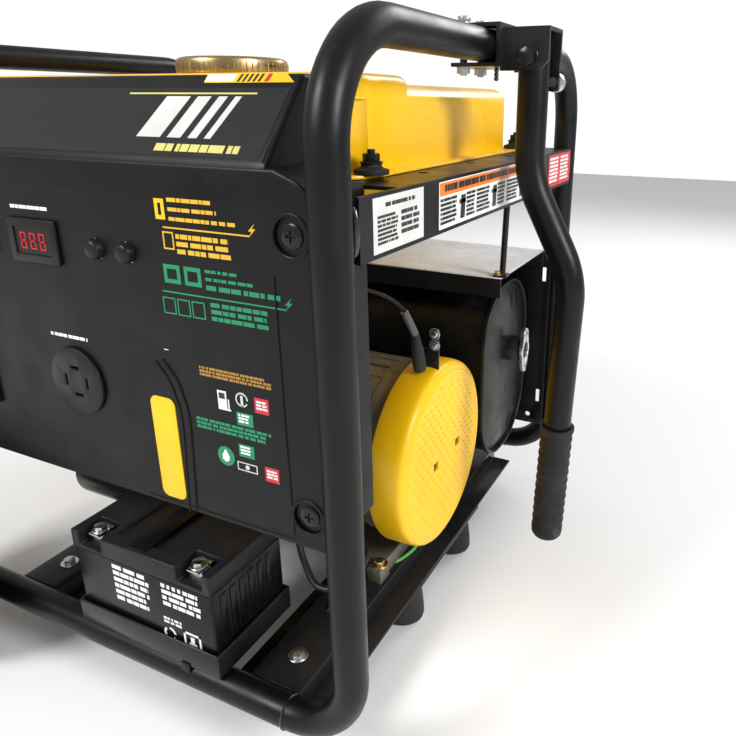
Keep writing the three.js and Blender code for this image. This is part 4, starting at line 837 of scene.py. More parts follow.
class GENERATOR_OT_frame(bpy.types.Operator):
    """End hoops, rails, tank supports, engine channels, feet and their labels"""

    bl_idname = "generator.frame"
    bl_label = "Tube frame"

    def execute(self, context):
        bend = sizes().foot_bend
        for side, plane, inward in (("right", RIGHT, -1), ("left", LEFT, 1)):
            piece(hoop(plane, inward), f"{side}_hoop_tube", look("paint"),
                  stands_for=f"{side}_hoop", angle=50)
        for side, y in (("front", FRONT), ("rear", BACK)):
            low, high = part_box(f"{side}_rail")
            run = tube([Vector((LEFT + bend, y, RAIL)), Vector((RIGHT - bend, y, RAIL))], TUBE_R,
                       resolution=8)
            sign = -1 if y < 0 else 1
            face = low.y if y < 0 else high.y
            x, half, z = middle(f"{side}_axle").x, 28 * MM, middle(f"{side}_axle").z
            outline = [(x - half, RAIL - 10 * MM), (x + half, RAIL - 10 * MM), (x + half, z),
                       *arc((x, z), half, 25, 155, 8), (x - half, z)]
            bracket = plate(outline, "y", face - sign * 4 * MM, face)
            bracket = cut(bracket, rod((x, face - 9 * MM, z), (x, face + 9 * MM, z), 6.6 * MM))
            piece(joined(run, rounded(bracket, 0.7 * MM, 2)), f"{side}_rail_tube", look("paint"),
                  stands_for=f"{side}_rail", angle=50)
            beads = [ring((x0, y, RAIL), X, TUBE_R, 1.0 * MM, section=8) for x0 in (LEFT + bend,
                                                                                    RIGHT - bend)]
            piece(joined(*beads), f"{side}_rail_welds", look("weld"))
        for side, sign in (("right", 1), ("left", -1)):
            low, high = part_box(f"{side}_crossmember")
            outer = high.x if sign > 0 else low.x
            inner = outer - sign * 2.5 * MM
            tip = low.x if sign > 0 else high.x
            upright = block((min(outer, inner), low.y, low.z), (max(outer, inner), high.y, high.z))
            flange = block((min(outer, tip), -184 * MM, high.z - 2.5 * MM),
                           (max(outer, tip), high.y, high.z))
            lip = block((min(outer, outer - sign * 9 * MM), low.y + 2 * MM, low.z),
                        (max(outer, outer - sign * 9 * MM), high.y - 2 * MM, low.z + 2.5 * MM))
            support = fused(upright, flange, lip)
            slots = [rod((middle(f"{side}_crossmember").x, y * MM, high.z - 9 * MM),
                         (middle(f"{side}_crossmember").x, y * MM, high.z + 2 * MM),
                         4.5 * MM) for y in (-95, 0, 95)]
            support = rounded(cut(support, *slots), 0.9 * MM, 2)
            piece(support, f"{side}_tank_support", look("paint"),
                  stands_for=f"{side}_crossmember")
            ends = [ring((outer - sign * 6 * MM, y, (low.z + high.z) / 2), Z, 1.6 * MM, 1.2 * MM,
                         (2.4, 1, 12))
                    for y in (low.y - 1 * MM, high.y + 1 * MM)]
            piece(joined(*ends), f"{side}_support_welds", look("weld"))
        for side in ("right", "left"):
            channel = rounded(cast(f"{side}_channel", 3), 0.9 * MM, 2)
            piece(channel, f"{side}_engine_channel", look("gloss_paint"),
                  stands_for=f"{side}_channel")
            x = middle(f"{side}_channel").x
            heads = [hex_bolt((x, y * MM, 61 * MM), Z, 5.5 * MM, 4 * MM, 8.5 * MM) for y in (-205, -146,
                                                                                             215)]
            piece(joined(*heads), f"{side}_channel_bolts", look("zinc"))
        for side in ("front", "rear"):
            low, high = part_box(f"{side}_foot")
            centre = Vector((middle(f"{side}_foot").x, middle(f"{side}_foot").y, 0))
            profile = [(0, 0), (18.5, 0), (20.2, 1.2), (21, 4), (20.4, 14), (19.4, 24), (18, 34),
                       (17, 37.5),
                       (16, 40.1), (0, 40.1)]
            foot = turned([(r * MM, z * MM) for r, z in profile], centre, Z, 48)
            piece(foot, f"{side}_rubber_foot", look("rubber"),
                  stands_for=f"{side}_foot")
        self.labels()
        return {"FINISHED"}

    def labels(self):
        """Plain generic labels on the right tank support."""
        low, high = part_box("right_crossmember")
        face = high.x / MM + 0.02
        bottom, top = low.z / MM + 3, high.z / MM - 2.5
        plain = [bar_shape(-221, bottom, -154, top)]
        piece(prints(plain, "x", face, 0.25 * MM), "rating_label", look("grey_label"))
        marks = rows(-206, -166, top - 4, top - 8, 1, 21) + rows(-216, -190, top - 11, bottom + 4, 7, 22)
        marks += rows(-186, -160, top - 11, bottom + 6, 4, 23)
        piece(prints(marks, "x", face + 0.25), "rating_print", look("black_ink"))
        piece(prints([bar_shape(-129, bottom, 92, top)], "x", face, 0.2 * MM), "notice_label",
              look("white_ink"))
        piece(prints([bar_shape(-128, top - 10, 91, top - 0.8)], "x", face + 0.2), "notice_bands",
              look("orange_ink"))
        marks = rows(-120, 84, top - 2.5, top - 8.5, 1, 31, 0.8)
        for y in (-127, -58, 14):
            marks += rows(y, y + 30, top - 12, bottom + 2, 6, int(200 + y))
            marks += [bar_shape(y + 36, bottom + 3, y + 44, top - 13, 1.5),
                      bar_shape(y + 34, top - 19, y + 46, top - 16)]
            marks += rows(y + 48, y + 66, top - 12, bottom + 2, 6, int(400 + y))
        piece(prints(marks, "x", face + 0.42), "notice_print", look("black_ink"))
        piece(prints([bar_shape(146, bottom, 235, top)], "x", face, 0.2 * MM), "caution_label",
              look("red_ink"))
        marks = rows(150, 186, top - 3, bottom + 3, 7, 41) + rows(192, 228, top - 3, bottom + 3, 7, 42)
        piece(prints(marks, "x", face + 0.2), "caution_print", look("white_ink"))


# ------------------------------------------------------------------------ folding handle
class GENERATOR_OT_handle(bpy.types.Operator):
    """Folding handle with its grip, pivot box, saddle and bolts"""

    bl_idname = "generator.handle"
    bl_label = "Handle"

    def execute(self, context):
        pivot = middle("pivot_bolt")
        low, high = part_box("handle_tube")
        line = bent([(pivot.x, 0, high.z), (pivot.x, 0, pivot.z - 94 * MM),
                     (pivot.x + 43.5 * MM, 0, pivot.z - 178 * MM),
                     (pivot.x + 35.74 * MM, 0, low.z + 0.4 * MM)], [90 * MM, 90 * MM], 14)
        bent_tube = tube(line, TUBE_R - 0.06 * MM, resolution=8)
        hole = rod(pivot - Y * 16 * MM, pivot + Y * 16 * MM, 5.4 * MM)
        piece(cut(bent_tube, hole), "handle_bent_tube", look("paint"), "handle",
              "handle_tube", 50)
        self.grip(pivot)
        self.bracket(pivot)
        return {"FINISHED"}

    def grip(self, pivot):
        start = Vector((pivot.x + 39.43 * MM, 0, pivot.z - 320 * MM))
        end = Vector((pivot.x + 35.5 * MM, 0, pivot.z - 441 * MM))
        run = (end - start).length
        outline = [(13.1, 0), (15.9, 0), (15.9, 3.5), (14.9, 6), (14.4, 9)]
        waves = 11
        for i in range(waves * 6):
            along = 12 + i * (run / MM - 24) / (waves * 6)
            outline.append((14.75 + 0.45 * math.cos(i * math.tau / 6), along))
        stop = run / MM
        outline += [(15, stop - 9), (14.6, stop - 4.5), (12.6, stop - 1.4), (9.5, stop), (0, stop),
                    (0, stop - 6),
                    (13.1, stop - 7), (13.1, 0)]
        sleeve = turned([(r * MM, z * MM) for r, z in outline], start, end - start, 56)
        piece(sleeve, "grip_sleeve", look("grip"), "handle", "handle_grip", 60)

    def bracket(self, pivot):
        wide = (RIGHT - 30 * MM, RIGHT - 11 * MM)
        over = block((wide[0], -32 * MM, TOP + 16.1 * MM), (wide[1], 32 * MM, TOP + 40 * MM))
        under = block((wide[0], -32 * MM, TOP - 40 * MM), (wide[1], 32 * MM, TOP - 16.1 * MM))
        box = rounded(cut(cast("handle_bracket", 3), over, under), 0.9 * MM, 3)
        piece(box, "pivot_box", look("gloss_paint"), stands_for="handle_bracket")
        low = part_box("handle_bracket")[0]
        face = low.x + 36 * MM
        beads = []
        for i in range(11):
            z = (520 + i * 3.1) * MM
            beads.append(ball((face - 0.6 * MM, -19.4 * MM, z), 2.1 * MM, (1, 0.8, 0.9), 12, 8))
        piece(joined(*beads), "pivot_box_weld", look("weld"))
        head = hex_bolt((pivot.x, -19.3 * MM, pivot.z), -Y, 7.6 * MM, 4.0 * MM, 9 * MM)
        nut = hex_bolt((pivot.x, 19.3 * MM, pivot.z), Y, 7.6 * MM, 4.0 * MM, 9 * MM)
        shank = rod((pivot.x, -20 * MM, pivot.z), (pivot.x, 20 * MM, pivot.z), 4.9 * MM)
        piece(joined(head, nut, shank), "pivot_bolt_set", look("gloss_paint"),
              stands_for="pivot_bolt")
        clamps, nuts = [], []
        for y in (-19, 19):
            place = Vector((RIGHT - 18.5 * MM, y * MM, 0))
            over, under = place + Z * (TOP + 16 * MM), place + Z * (TOP - 16 * MM)
            clamps.append(rod(over, over + Z * 1.1 * MM, 6.4 * MM, 32))
            clamps.append(hex_bolt(over + Z * MM, Z, 5.4 * MM, 3.9 * MM, 4 * MM))
            nuts.append(rod(under, under - Z * 5 * MM, 5.4 * MM, 6))
            nuts.append(rod(under - Z * 4 * MM, under - Z * 6.4 * MM, 2.9 * MM, 16))
        piece(joined(*clamps, *nuts), "saddle_bolts", look("zinc"))
        pin = middle("lock_pin")
        knob = turned([(0, 0), (3.8 * MM, 0), (3.8 * MM, 6 * MM), (7.4 * MM, 6.6 * MM),
                       (7.8 * MM, 8.4 * MM),
                       (7.8 * MM, 15.6 * MM), (7 * MM, 17.4 * MM), (0, 17.6 * MM)],
                      (pin.x, 13.6 * MM, pin.z), Y, 32)
        piece(knob, "lock_plunger", look("zinc"), "handle_lock", "lock_pin")
        tail = ring((pin.x, 26.5 * MM, pin.z), Z, 9.4 * MM, 0.7 * MM, (0.8, 0.45, 1))
        piece(tail, "lock_pull_ring", look("steel"), "handle_lock")


# ----------------------------------------------------------------------------- fuel tank
class GENERATOR_OT_tank(bpy.types.Operator):
    """Pressed tank, filler, cap and rubber mounts"""

    bl_idname = "generator.tank"
    bl_label = "Fuel tank"

    def execute(self, context):
        low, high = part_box("fuel_tank")
        lip = 14 * MM
        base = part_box("right_crossmember")[1].z + 0.3 * MM
        neck_top = high.z
        top = neck_top - 6 * MM
        x0, x1, y0, y1 = low.x + lip, high.x - lip, low.y + lip, high.y - lip
        corner = sizes().tank_corner
        rear = plate(round_rectangle((x0, y0), (x1, y1), corner, 10), "z", base, top - 6 * MM)
        self.shoulder(rear, top - 6 * MM, 17 * MM)
        step = y0 + 111 * MM
        front = plate(round_rectangle((x0, y0), (x1, step), corner, 10), "z", base, top)
        self.shoulder(front, top, 8.5 * MM)
        slope = plate([(y0 + 83 * MM, top + 1 * MM), (step + 3 * MM, top - 17 * MM),
                       (step + 3 * MM, top + 1 * MM)],
                      "x", x0 - 5 * MM, x1 + 5 * MM)
        front = cut(front, slope)
        shell = fused(rear, front)
        pockets = [rod((x, y, base - 1 * MM), (x, y, base + 52 * MM), 17 * MM, 40)
                   for x in (x0 - 9 * MM, x1 + 9 * MM) for y in (y0 + 13 * MM, y1 - 17 * MM)]
        shell = cut(shell, *pockets)
        flange = plate(round_rectangle((low.x, low.y), (high.x, high.y), corner, 10), "z", base,
                       base + 2.5 * MM)
        flange = rounded(flange, 0.8 * MM, 2)
        sump = plate(round_rectangle((x0 + 26 * MM, y0 + 8 * MM), (x1 - 26 * MM, y1 - 8 * MM), 20 * MM, 8),
                     "z",
                     low.z + 22 * MM, base + 1 * MM)
        cap = middle("fuel_cap")
        neck = turned([(0, 0), (30 * MM, 0), (30 * MM, 8 * MM), (28.6 * MM, 9.6 * MM), (0, 9.6 * MM)],
                      (cap.x, cap.y, top - 4 * MM), Z, 64)
        shell = fused(shell, neck)
        bore = rod((cap.x, cap.y, neck_top - 32 * MM), (cap.x, cap.y, neck_top + 5 * MM), 24.5 * MM, 64)
        shell = rounded(cut(shell, bore), 0.9 * MM, 2, 50)
        cock = middle("fuel_lever")
        body = turned([(0, 0), (9 * MM, 0), (9 * MM, 12 * MM), (7 * MM, 14 * MM), (7 * MM, 24 * MM),
                       (0, 24 * MM)],
                      (cock.x, y0 + 16 * MM, low.z), Z, 32)
        nose = rod((cock.x, y0 + 16 * MM, cock.z + 12 * MM), (cock.x, y0 + 4.2 * MM, cock.z + 12 * MM),
                   6.8 * MM)
        piece(joined(body, nose), "fuel_cock", look("steel"))
        piece(joined(shell, flange, sump), "tank_shell", look("enamel"),
              stands_for="fuel_tank", angle=28)
        self.cap(cap)
        self.mounts(base, x0, x1, y0, y1)
        return {"FINISHED"}

    def shoulder(self, obj, level, width):
        """Rounds the top edge of a pressing."""
        only(obj)
        counts = {}
        for face in obj.data.polygons:
            for key in face.edge_keys:
                counts.setdefault(key, []).append(face.normal)
        for edge in obj.data.edges:
            normals = counts.get(tuple(sorted(edge.vertices)), [])
            a, b = (obj.data.vertices[i].co for i in edge.vertices)
            flat = abs(a.z - level) < 1e-5 and abs(b.z - level) < 1e-5
            edge.select = flat and len(normals) == 2 and normals[0].dot(normals[1]) < 0.5
        for vertex in obj.data.vertices:
            vertex.select = False
        for face in obj.data.polygons:
            face.select = False
        bpy.ops.object.mode_set(mode="EDIT")
        bpy.ops.mesh.select_mode(type="EDGE")
        bpy.ops.mesh.bevel(offset=width, segments=6, profile=0.5)
        bpy.ops.mesh.select_mode(type="VERT")
        bpy.ops.object.mode_set(mode="OBJECT")
        return obj

    def cap(self, cap):
        low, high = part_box("fuel_cap")
        tall = (high.z - low.z) / MM
        profile = [(0, tall - 7), (41, tall - 7), (41, 0), (42.4, 0), (43.6, 1), (44, 2.4), (44, tall - 4),
                   (43.4, tall - 2), (41.4, tall - 0.6), (38.6, tall), (33, tall), (32, tall - 0.9),
                   (30, tall - 1.1), (0, tall - 1.1)]
        lid = turned([(r * MM, z * MM) for r, z in profile], (cap.x, cap.y, low.z), Z, 96)
        grips = around(rod((cap.x + 43.9 * MM, cap.y, low.z + 1.5 * MM),
                           (cap.x + 43.9 * MM, cap.y, high.z - 4.5 * MM), 0.55 * MM, 8), 60,
                           (cap.x, cap.y, 0), "Z")
        hub = turned([(0, 0), (22 * MM, 0), (22 * MM, 4 * MM), (0, 4 * MM)],
                     (cap.x, cap.y, low.z + 6.2 * MM - 4.2 * MM), Z)
        piece(joined(lid, grips, hub), "filler_cap_lid", look("brass"), "fuel_cap", "fuel_cap")

    def mounts(self, base, x0, x1, y0, y1):
        rubbers, bolts = [], []
        for x in (x0 - 4 * MM, x1 + 9.5 * MM):
            for y in (y0 + 14 * MM, y1 - 18 * MM):
                seat = Vector((x, y, base + 2.5 * MM))
                disc = [(0, 0), (12, 0), (12.6, 1.4), (12.2, 3.4), (9, 4.2), (7.4, 5.4), (7.4, 7.4),
                        (0, 7.4)]
                rubbers.append(turned([(r * MM, z * MM) for r, z in disc], seat, Z, 32))
                bolts.append(hex_bolt(seat + Z * 7.2 * MM, Z, 6.2 * MM, 5.4 * MM, 8.2 * MM))
                bolts.append(rod(seat + Z * 12 * MM, seat + Z * 17 * MM, 3 * MM, 18, 2.7 * MM))
        piece(joined(*rubbers), "tank_isolators", look("rubber"))
        piece(joined(*bolts), "tank_mount_bolts", look("gloss_paint"))


# -------------------------------------------------------------------------- control panel
class GENERATOR_OT_panel(bpy.types.Operator):
    """Moulded control panel with hood, screws, print and fittings"""

    bl_idname = "generator.control_panel"
    bl_label = "Control panel"

    def execute(self, context):
        low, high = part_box("panel_housing")
        x0, x1, front = low.x / MM, high.x / MM, low.y / MM
        z0, bend, z1, lean = low.z / MM, RAIL / MM + 410, high.z / MM, front + 42
        right = [(x1, z0 + 3), (x1, bend - 22), *arc((x1 - 16, bend - 20), 16, 10, 70, 6), (x1 - 24, bend)]
        left = [(x0 + 24, bend), *arc((x0 + 16, bend - 20), 16, 110, 170, 6), (x0, bend - 22), (x0, z0 + 3)]
        outline = [(x0 + 3, z0), (x1 - 3, z0), *right, *left]
        body = plate([(x * MM, z * MM) for x, z in outline], "y", low.y, low.y + 62 * MM)
        body = rounded(body, 3.4 * MM, 4)
        hood_x = (x0 + 28.5, x1 - 28.5)
        side = [(front + 0.6, bend - 14), (front + 0.6, bend + 1), (lean, z1), (front + 80, z1),
                (front + 80, bend - 14)]
        hood = plate([(y * MM, z * MM) for y, z in side], "x", hood_x[0] * MM, hood_x[1] * MM)
        hood = rounded(hood, 3 * MM, 4)
        shell = fused(body, hood)
        hollow = block(at(x0 + 3, front + 3, z0 + 3), at(x1 - 3, front + 63, bend - 6))
        inside = [(front + 3.6, bend - 15), (front + 4, bend - 2), (lean + 2, z1 - 3), (front + 81, z1 - 3),
                  (front + 81, bend - 15)]
        cavity = plate([(y * MM, z * MM) for y, z in inside], "x", (hood_x[0] + 3) * MM,
                       (hood_x[1] - 3) * MM)
        shell = cut(cut(shell, hollow), cavity)
        holes = []
        for node, grow in (("voltage_meter", -2.6), ("duplex_outlet", -3.4), ("start_rocker", 0.8)):
            a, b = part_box(node)
            spread = at(grow, 0, grow)
            holes.append(block((a.x - spread.x, low.y - 2 * MM, a.z - spread.z),
                               (b.x + spread.x, low.y + 9 * MM, b.z + spread.z)))
        for node, radius in (("locking_outlet", 22.6), ("first_breaker", 7.5), ("second_breaker", 7.5),
                             ("fuel_selector", 5.5)):
            centre = middle(node)
            holes.append(rod((centre.x, low.y - 2 * MM, centre.z), (centre.x, low.y + 9 * MM, centre.z),
                             radius * MM))
        for x, z in self.screw_places(x0, x1):
            holes.append(rod(at(x, front - 1, z), at(x, front + 1.6, z), 12.4 * MM, 40))
        shell = cut(shell, *holes)
        piece(shell, "panel_shell", look("panel"), stands_for="panel_housing")
        self.screws(x0, x1, front)
        self.grooves(front, x1)
        self.face_print(front)
        self.hood_print(front, bend, z1, lean, hood_x)
        self.fittings(front)
        return {"FINISHED"}

    def screw_places(self, x0, x1):
        return [(x1 - 14, 428.3), (x1 - 14, 239.4), (x0 + 14, 428.3), (x0 + 14, 239.4)]

    def screws(self, x0, x1, front):
        rims, heads = [], []
        for x, z in self.screw_places(x0, x1):
            rims.append(ring(at(x, front + 0.2, z), Y, 12.8 * MM, 1.3 * MM, section=10))
            head = turned([(0, 0), (7.6 * MM, 0), (7.6 * MM, 1 * MM), (6.4 * MM, 1.6 * MM),
                           (4 * MM, 1.9 * MM),
                           (0, 1.9 * MM)], at(x, front + 1.7, z), -Y, 32)
            cross = [block(at(x - 3.6, front - 1, z - 0.7), at(x + 3.6, front + 1.2, z + 0.7)),
                     block(at(x - 0.7, front - 1, z - 3.6), at(x + 0.7, front + 1.2, z + 3.6))]
            heads.append(cut(head, *cross))
        piece(joined(*rims), "panel_screw_rims", look("panel"))
        piece(joined(*heads), "panel_screws", look("gloss_paint"))

    def grooves(self, front, x1):
        level = front - 0.1
        path = [(93, 333), (103, 321), (108, 308), (111, 291), (109, 250), (107, 216)]
        outer = [at(x, level, z) for x, z in path]
        ridge = tube(route(outer, 5), 1.1 * MM, resolution=3)
        inner = tube(route([p + at(-7, 0, -2) for p in outer], 5), 0.8 * MM, resolution=3)
        edge = tube([at(x1 - 27, level, 222), at(x1 - 28, level, 300), at(x1 - 28, level, 404)], 0.7 * MM,
                    resolution=3)
        line = tube([at(x1 - 27, level, 218), at(60, level, 218)], 0.6 * MM, resolution=3)
        piece(joined(ridge, inner, edge, line), "panel_ridges", look("panel"))
        accent = plate([(x * MM, z * MM) for x, z in round_rectangle((76, 222), (99, 304), 6, 5)], "y",
                       (front - 0.9) * MM, (front + 0.4) * MM)
        piece(rounded(accent, 0.5 * MM, 2), "panel_accent", look("yellow"))

    def face_print(self, front):
        level = front - 0.02
        amber = rows(115, 151, 445, 441, 1, 1) + rows(115, 161, 439, 435.2, 1, 2) + rows(115, 170, 433,
                                                                                         429.2, 1, 3)
        amber += rows(119, 163, 422.5, 408, 3, 4)
        amber += [bar_shape(109, 425.6, 178.5, 426.6), [(178, 425.6), (183, 430.6), (180.4, 430.6),
                                                        (182.6, 434),
                                                       (177.4, 429), (180, 429)]]
        amber += self.outline_box((108, 412), (117, 423.5))
        piece(prints(amber, "y", level), "panel_amber_print", look("yellow_ink"))
        boxes = self.outline_box((104, 431), (112, 444), 2.6)
        piece(prints(boxes, "y", level), "panel_yellow_boxes", look("yellow"))
        green = rows(140, 168, 401.7, 398.4, 1, 11) + rows(140, 182, 396.6, 393.2, 1, 12)
        green += rows(140, 201, 391.6, 386.5, 1, 13) + rows(142, 188, 380.4, 366.6, 3, 14)
        green += [bar_shape(102, 382.9, 202, 383.9), [(201, 382.9), (206.5, 388), (203.8, 388),
                                                      (206, 391.4),
                                                      (200.6, 386.2), (203.2, 386.2)]]
        for u in (105, 122.5):
            green += self.outline_box((u, 389.5), (u + 14, 402), 2.8)
        for u in (101, 113.5, 126):
            green += self.outline_box((u, 368), (u + 11, 379.5), 0.9)
        piece(prints(green, "y", level), "panel_green_print", look("green_ink"))
        amber = rows(126, 190, 334.5, 327, 3, 15, 0.7)
        green = rows(118, 186, 295.5, 286.5, 3, 16, 0.7)
        piece(prints(amber, "y", level), "panel_lower_amber_print", look("amber_ink"))
        piece(prints(green, "y", level), "panel_lower_green_print", look("green_ink"))
        pump = [bar_shape(139.5, 305.5, 147, 319.5), bar_shape(148, 306.5, 149, 314),
                bar_shape(147, 305.5, 150, 306.6)]
        piece(prints(pump, "y", level), "panel_pump_symbol", look("white_ink"))
        window = [bar_shape(140.8, 313.8, 145.7, 318)]
        knob = [arc((160, 316), 5.2, 0, 330, 20) + arc((160, 316), 4.2, 330, 0, 20),
                bar_shape(159, 311, 161, 319)]
        knob += self.outline_box((151, 262), (168, 268.5), 0.7) + [arc((159.5, 265.2), 1.8, 0, 350, 12)]
        piece(prints(knob, "y", level), "panel_knob_symbols", look("grey_label"))
        piece(prints(window, "y", level - 0.22), "panel_pump_window", look("black_ink"))
        disc = [arc((141.5, 270), 7.4, 0, 352, 36)]
        squares = [bar_shape(154.5, 297, 168, 306.5), bar_shape(153.5, 273, 166.5, 282.5)]
        piece(prints(disc + squares, "y", level), "panel_green_marks", look("green_ink"))
        piece(prints([bar_shape(170.5, 309, 182, 320), bar_shape(174.5, 259, 186, 270)], "y", level),
              "panel_red_marks", look("red_ink"))
        marks = [[(141.5, 275.6), (138.4, 270.6), (138.6, 267.4), (141.5, 265.4), (144.4, 267.4),
                  (144.6, 270.6)]]
        for u, v in ((154.5, 297), (153.5, 273), (170.5, 309.6), (174.5, 259.6)):
            marks += rows(u + 1.6, u + 10.6, v + 8.4, v + 1.4, 3, int(u + v))
        piece(prints(marks, "y", level - 0.22), "panel_white_marks", look("white_ink"))
        bars = rows(96, 100, 341.6, 340.6, 1, 17)
        piece(prints(bars, "y", level), "panel_tick", look("white_ink"))
        for node, ink_name, seed in (("voltage_meter", "white_ink", 51), ("start_rocker", "white_ink", 52),
                                     ("fuel_selector", "white_ink", 53),
                                     ("locking_outlet", "white_ink", 54),
                                     ("duplex_outlet", "white_ink", 55)):
            a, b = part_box(node)
            marks = rows(a.x / MM + 4, b.x / MM - 4, b.z / MM + 9, b.z / MM + 5, 1, seed)
            piece(prints(marks, "y", level), f"{node}_caption", look(ink_name))

    def outline_box(self, low, high, line=1.0):
        """Four printed bars that frame a box."""
        (u0, v0), (u1, v1) = low, high
        return [bar_shape(u0, v0, u1, v0 + line), bar_shape(u0, v1 - line, u1, v1),
                bar_shape(u0, v0 + line, u0 + line, v1 - line),
                bar_shape(u1 - line, v0 + line, u1, v1 - line)]

    def on_hood(self, shapes, name, ink_name, front, bend, z1, lean, lift=0.05):
        """Print on the hood's leaning face: u along x, v up the slope from the hood's foot."""
        obj = prints(shapes, "y", 0.0)
        slope = math.atan2(lean - front - 0.6, z1 - bend - 1)
        turn = Matrix.Rotation(-slope, 4, "X")
        foot = Matrix.Translation(at(0, front + 0.6, bend + 1) + turn @ Vector((0, -lift * MM, 0)))
        obj.data.transform(foot @ turn)
        return piece(obj, name, look(ink_name))

    def hood_print(self, front, bend, z1, lean, hood_x):
        place = (front, bend, z1, lean)
        right = hood_x[1]
        run = math.hypot(lean - front, z1 - bend)
        sheet = [[(hood_x[0] + 6, 4), (right - 7, 4), (right - 5, run - 12), (hood_x[0] + 6, run - 12)]]
        self.on_hood(sheet, "hood_face_sheet", "hood", *place)
        pale = [bar_shape(60, run - 17, 166, run - 15.8)]
        self.on_hood(pale + rows(104, 176, 12.5, 6.5, 1, 61, 0.9), "hood_pale_line", "pale_ink", *place,
                     lift=0.3)
        emblem = []
        for u, wide in ((84, 20), (110, 11), (127, 7), (140, 5)):
            emblem.append(bar_shape(u, 17, u + wide, 48.2, 10.4))
        self.on_hood(emblem, "hood_emblem", "grey_label", *place, lift=0.3)
        band = [[(120, run - 8), (right - 4, run - 8), (right - 12, run - 1), (120, run - 1)]]
        self.on_hood(band, "hood_strip", "yellow", *place, lift=0.15)
        black = [bar_shape(u, run - 7.4, u + 1.8, run - 1.6, 1.6) for u in range(146, 166, 4)]
        self.on_hood(black, "hood_strip_black", "black_ink", *place, lift=0.4)
        self.on_hood([bar_shape(167, run - 7.4, 170, run - 1.6, 1.6)], "hood_strip_red", "red_ink", *place,
                     lift=0.4)
        white = [bar_shape(120, run - 7.4, 143, run - 1.6, 1.6)]
        self.on_hood(white, "hood_strip_white", "white_ink", *place, lift=0.4)
        # A thin line in the lighter hood colour along the hood's right bevelled edge: painted highlight on
        # that edge.
        rim = [at(right - 3.5, front + 2.2, bend + 3), at(right - 3.5, lean + 0.9, z1 - 1.4)]
        edge_highlight_line = tube(rim, 0.8 * MM, resolution=3)
        piece(edge_highlight_line, "hood_edge_painted_highlight", look("hood"))

    def fittings(self, front):
        """Meter window, outlet faces, breakers, rocker and selector."""
        low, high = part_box("voltage_meter")
        bezel = rounded(block(low, (high.x, front * MM - 0.1 * MM, high.z)), 1 * MM, 3)
        glass = block((low.x + 6 * MM, low.y - 1 * MM, low.z + 6 * MM),
                      (high.x - 6 * MM, low.y + 1 * MM, high.z - 6 * MM))
        stem = block((low.x + 3 * MM, front * MM - 0.2 * MM, low.z + 3 * MM),
                     (high.x - 3 * MM, high.y, high.z - 3 * MM))
        piece(joined(cut(bezel, glass), stem), "meter_bezel", look("plastic"),
              stands_for="voltage_meter")
        x, z = middle("voltage_meter").x / MM, middle("voltage_meter").z / MM
        digits = []
        for u in (x - 13, x - 3, x + 7):
            digits += [bar_shape(u, z - 6, u + 6, z - 5), bar_shape(u, z + 5, u + 6, z + 6),
                       bar_shape(u, z - 0.5, u + 6, z + 0.5),
                       bar_shape(u, z - 5, u + 1, z + 5), bar_shape(u + 5, z - 5, u + 6, z + 5)]
        piece(prints(digits, "y", low.y / MM + 0.9), "meter_digits", look("red"))
        for node in ("duplex_outlet", "locking_outlet"):
            face = rounded(cast(node, 3), 0.7 * MM, 2)
            piece(face, f"{node}_face", look("plastic"), stands_for=node)
        for node, body in (("first_breaker", "first_breaker"), ("second_breaker", "second_breaker")):
            low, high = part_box(node)
            centre = middle(node)
            profile = [(0, 0), (4.6, 0), (6.2, 0.8), (6.9, 2), (6.9, 19.8), (0, 19.8)]
            button = turned([(r * MM, d * MM) for r, d in profile], (centre.x, low.y, centre.z), Y, 32)
            piece(button, f"{node}_button", look("plastic"), body, node)
        rocker = rounded(cast("start_rocker", 3), 1.1 * MM, 3)
        piece(rocker, "start_rocker_paddle", look("red"), "rocker", "start_rocker")
        low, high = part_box("start_rocker")
        frame_ring = cut(block((low.x - 3.4 * MM, (front - 1.6) * MM, low.z - 3.4 * MM),
                               (high.x + 3.4 * MM, (front - 0.1) * MM, high.z + 3.4 * MM)),
                         block((low.x - 0.9 * MM, (front - 3) * MM, low.z - 0.9 * MM),
                               (high.x + 0.9 * MM, (front + 1) * MM, high.z + 0.9 * MM)))
        piece(rounded(frame_ring, 0.5 * MM, 2), "start_rocker_frame", look("plastic"))
        centre = middle("fuel_selector")
        low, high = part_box("fuel_selector")
        disc = turned([(0, 1), (16, 1), (18.4, 1.6), (19, 3), (19, 4.2), (17.6, 6), (0, 6)], (0, 0, 0), -Y,
                      48)
        disc.data.transform(Matrix.Translation((centre.x, front * MM, centre.z)) @ Matrix.Scale(MM, 4))
        scallops = around(rod((centre.x + 19.6 * MM, (front - 7) * MM, centre.z),
                              (centre.x + 19.6 * MM, front * MM, centre.z), 1.5 * MM, 16), 20, centre, "Y")
        blade = rounded(block((centre.x - 4 * MM, low.y, low.z + 2 * MM),
                              (centre.x + 4 * MM, (front - 5) * MM, high.z - 2 * MM)), 1.6 * MM, 3)
        stem = rod((centre.x, (front - 2) * MM, centre.z), (centre.x, (front + 12) * MM, centre.z),
                   4.9 * MM)
        piece(joined(cut(disc, scallops), blade, stem), "fuel_selector_knob", look("yellow"), "selector",
              "fuel_selector")


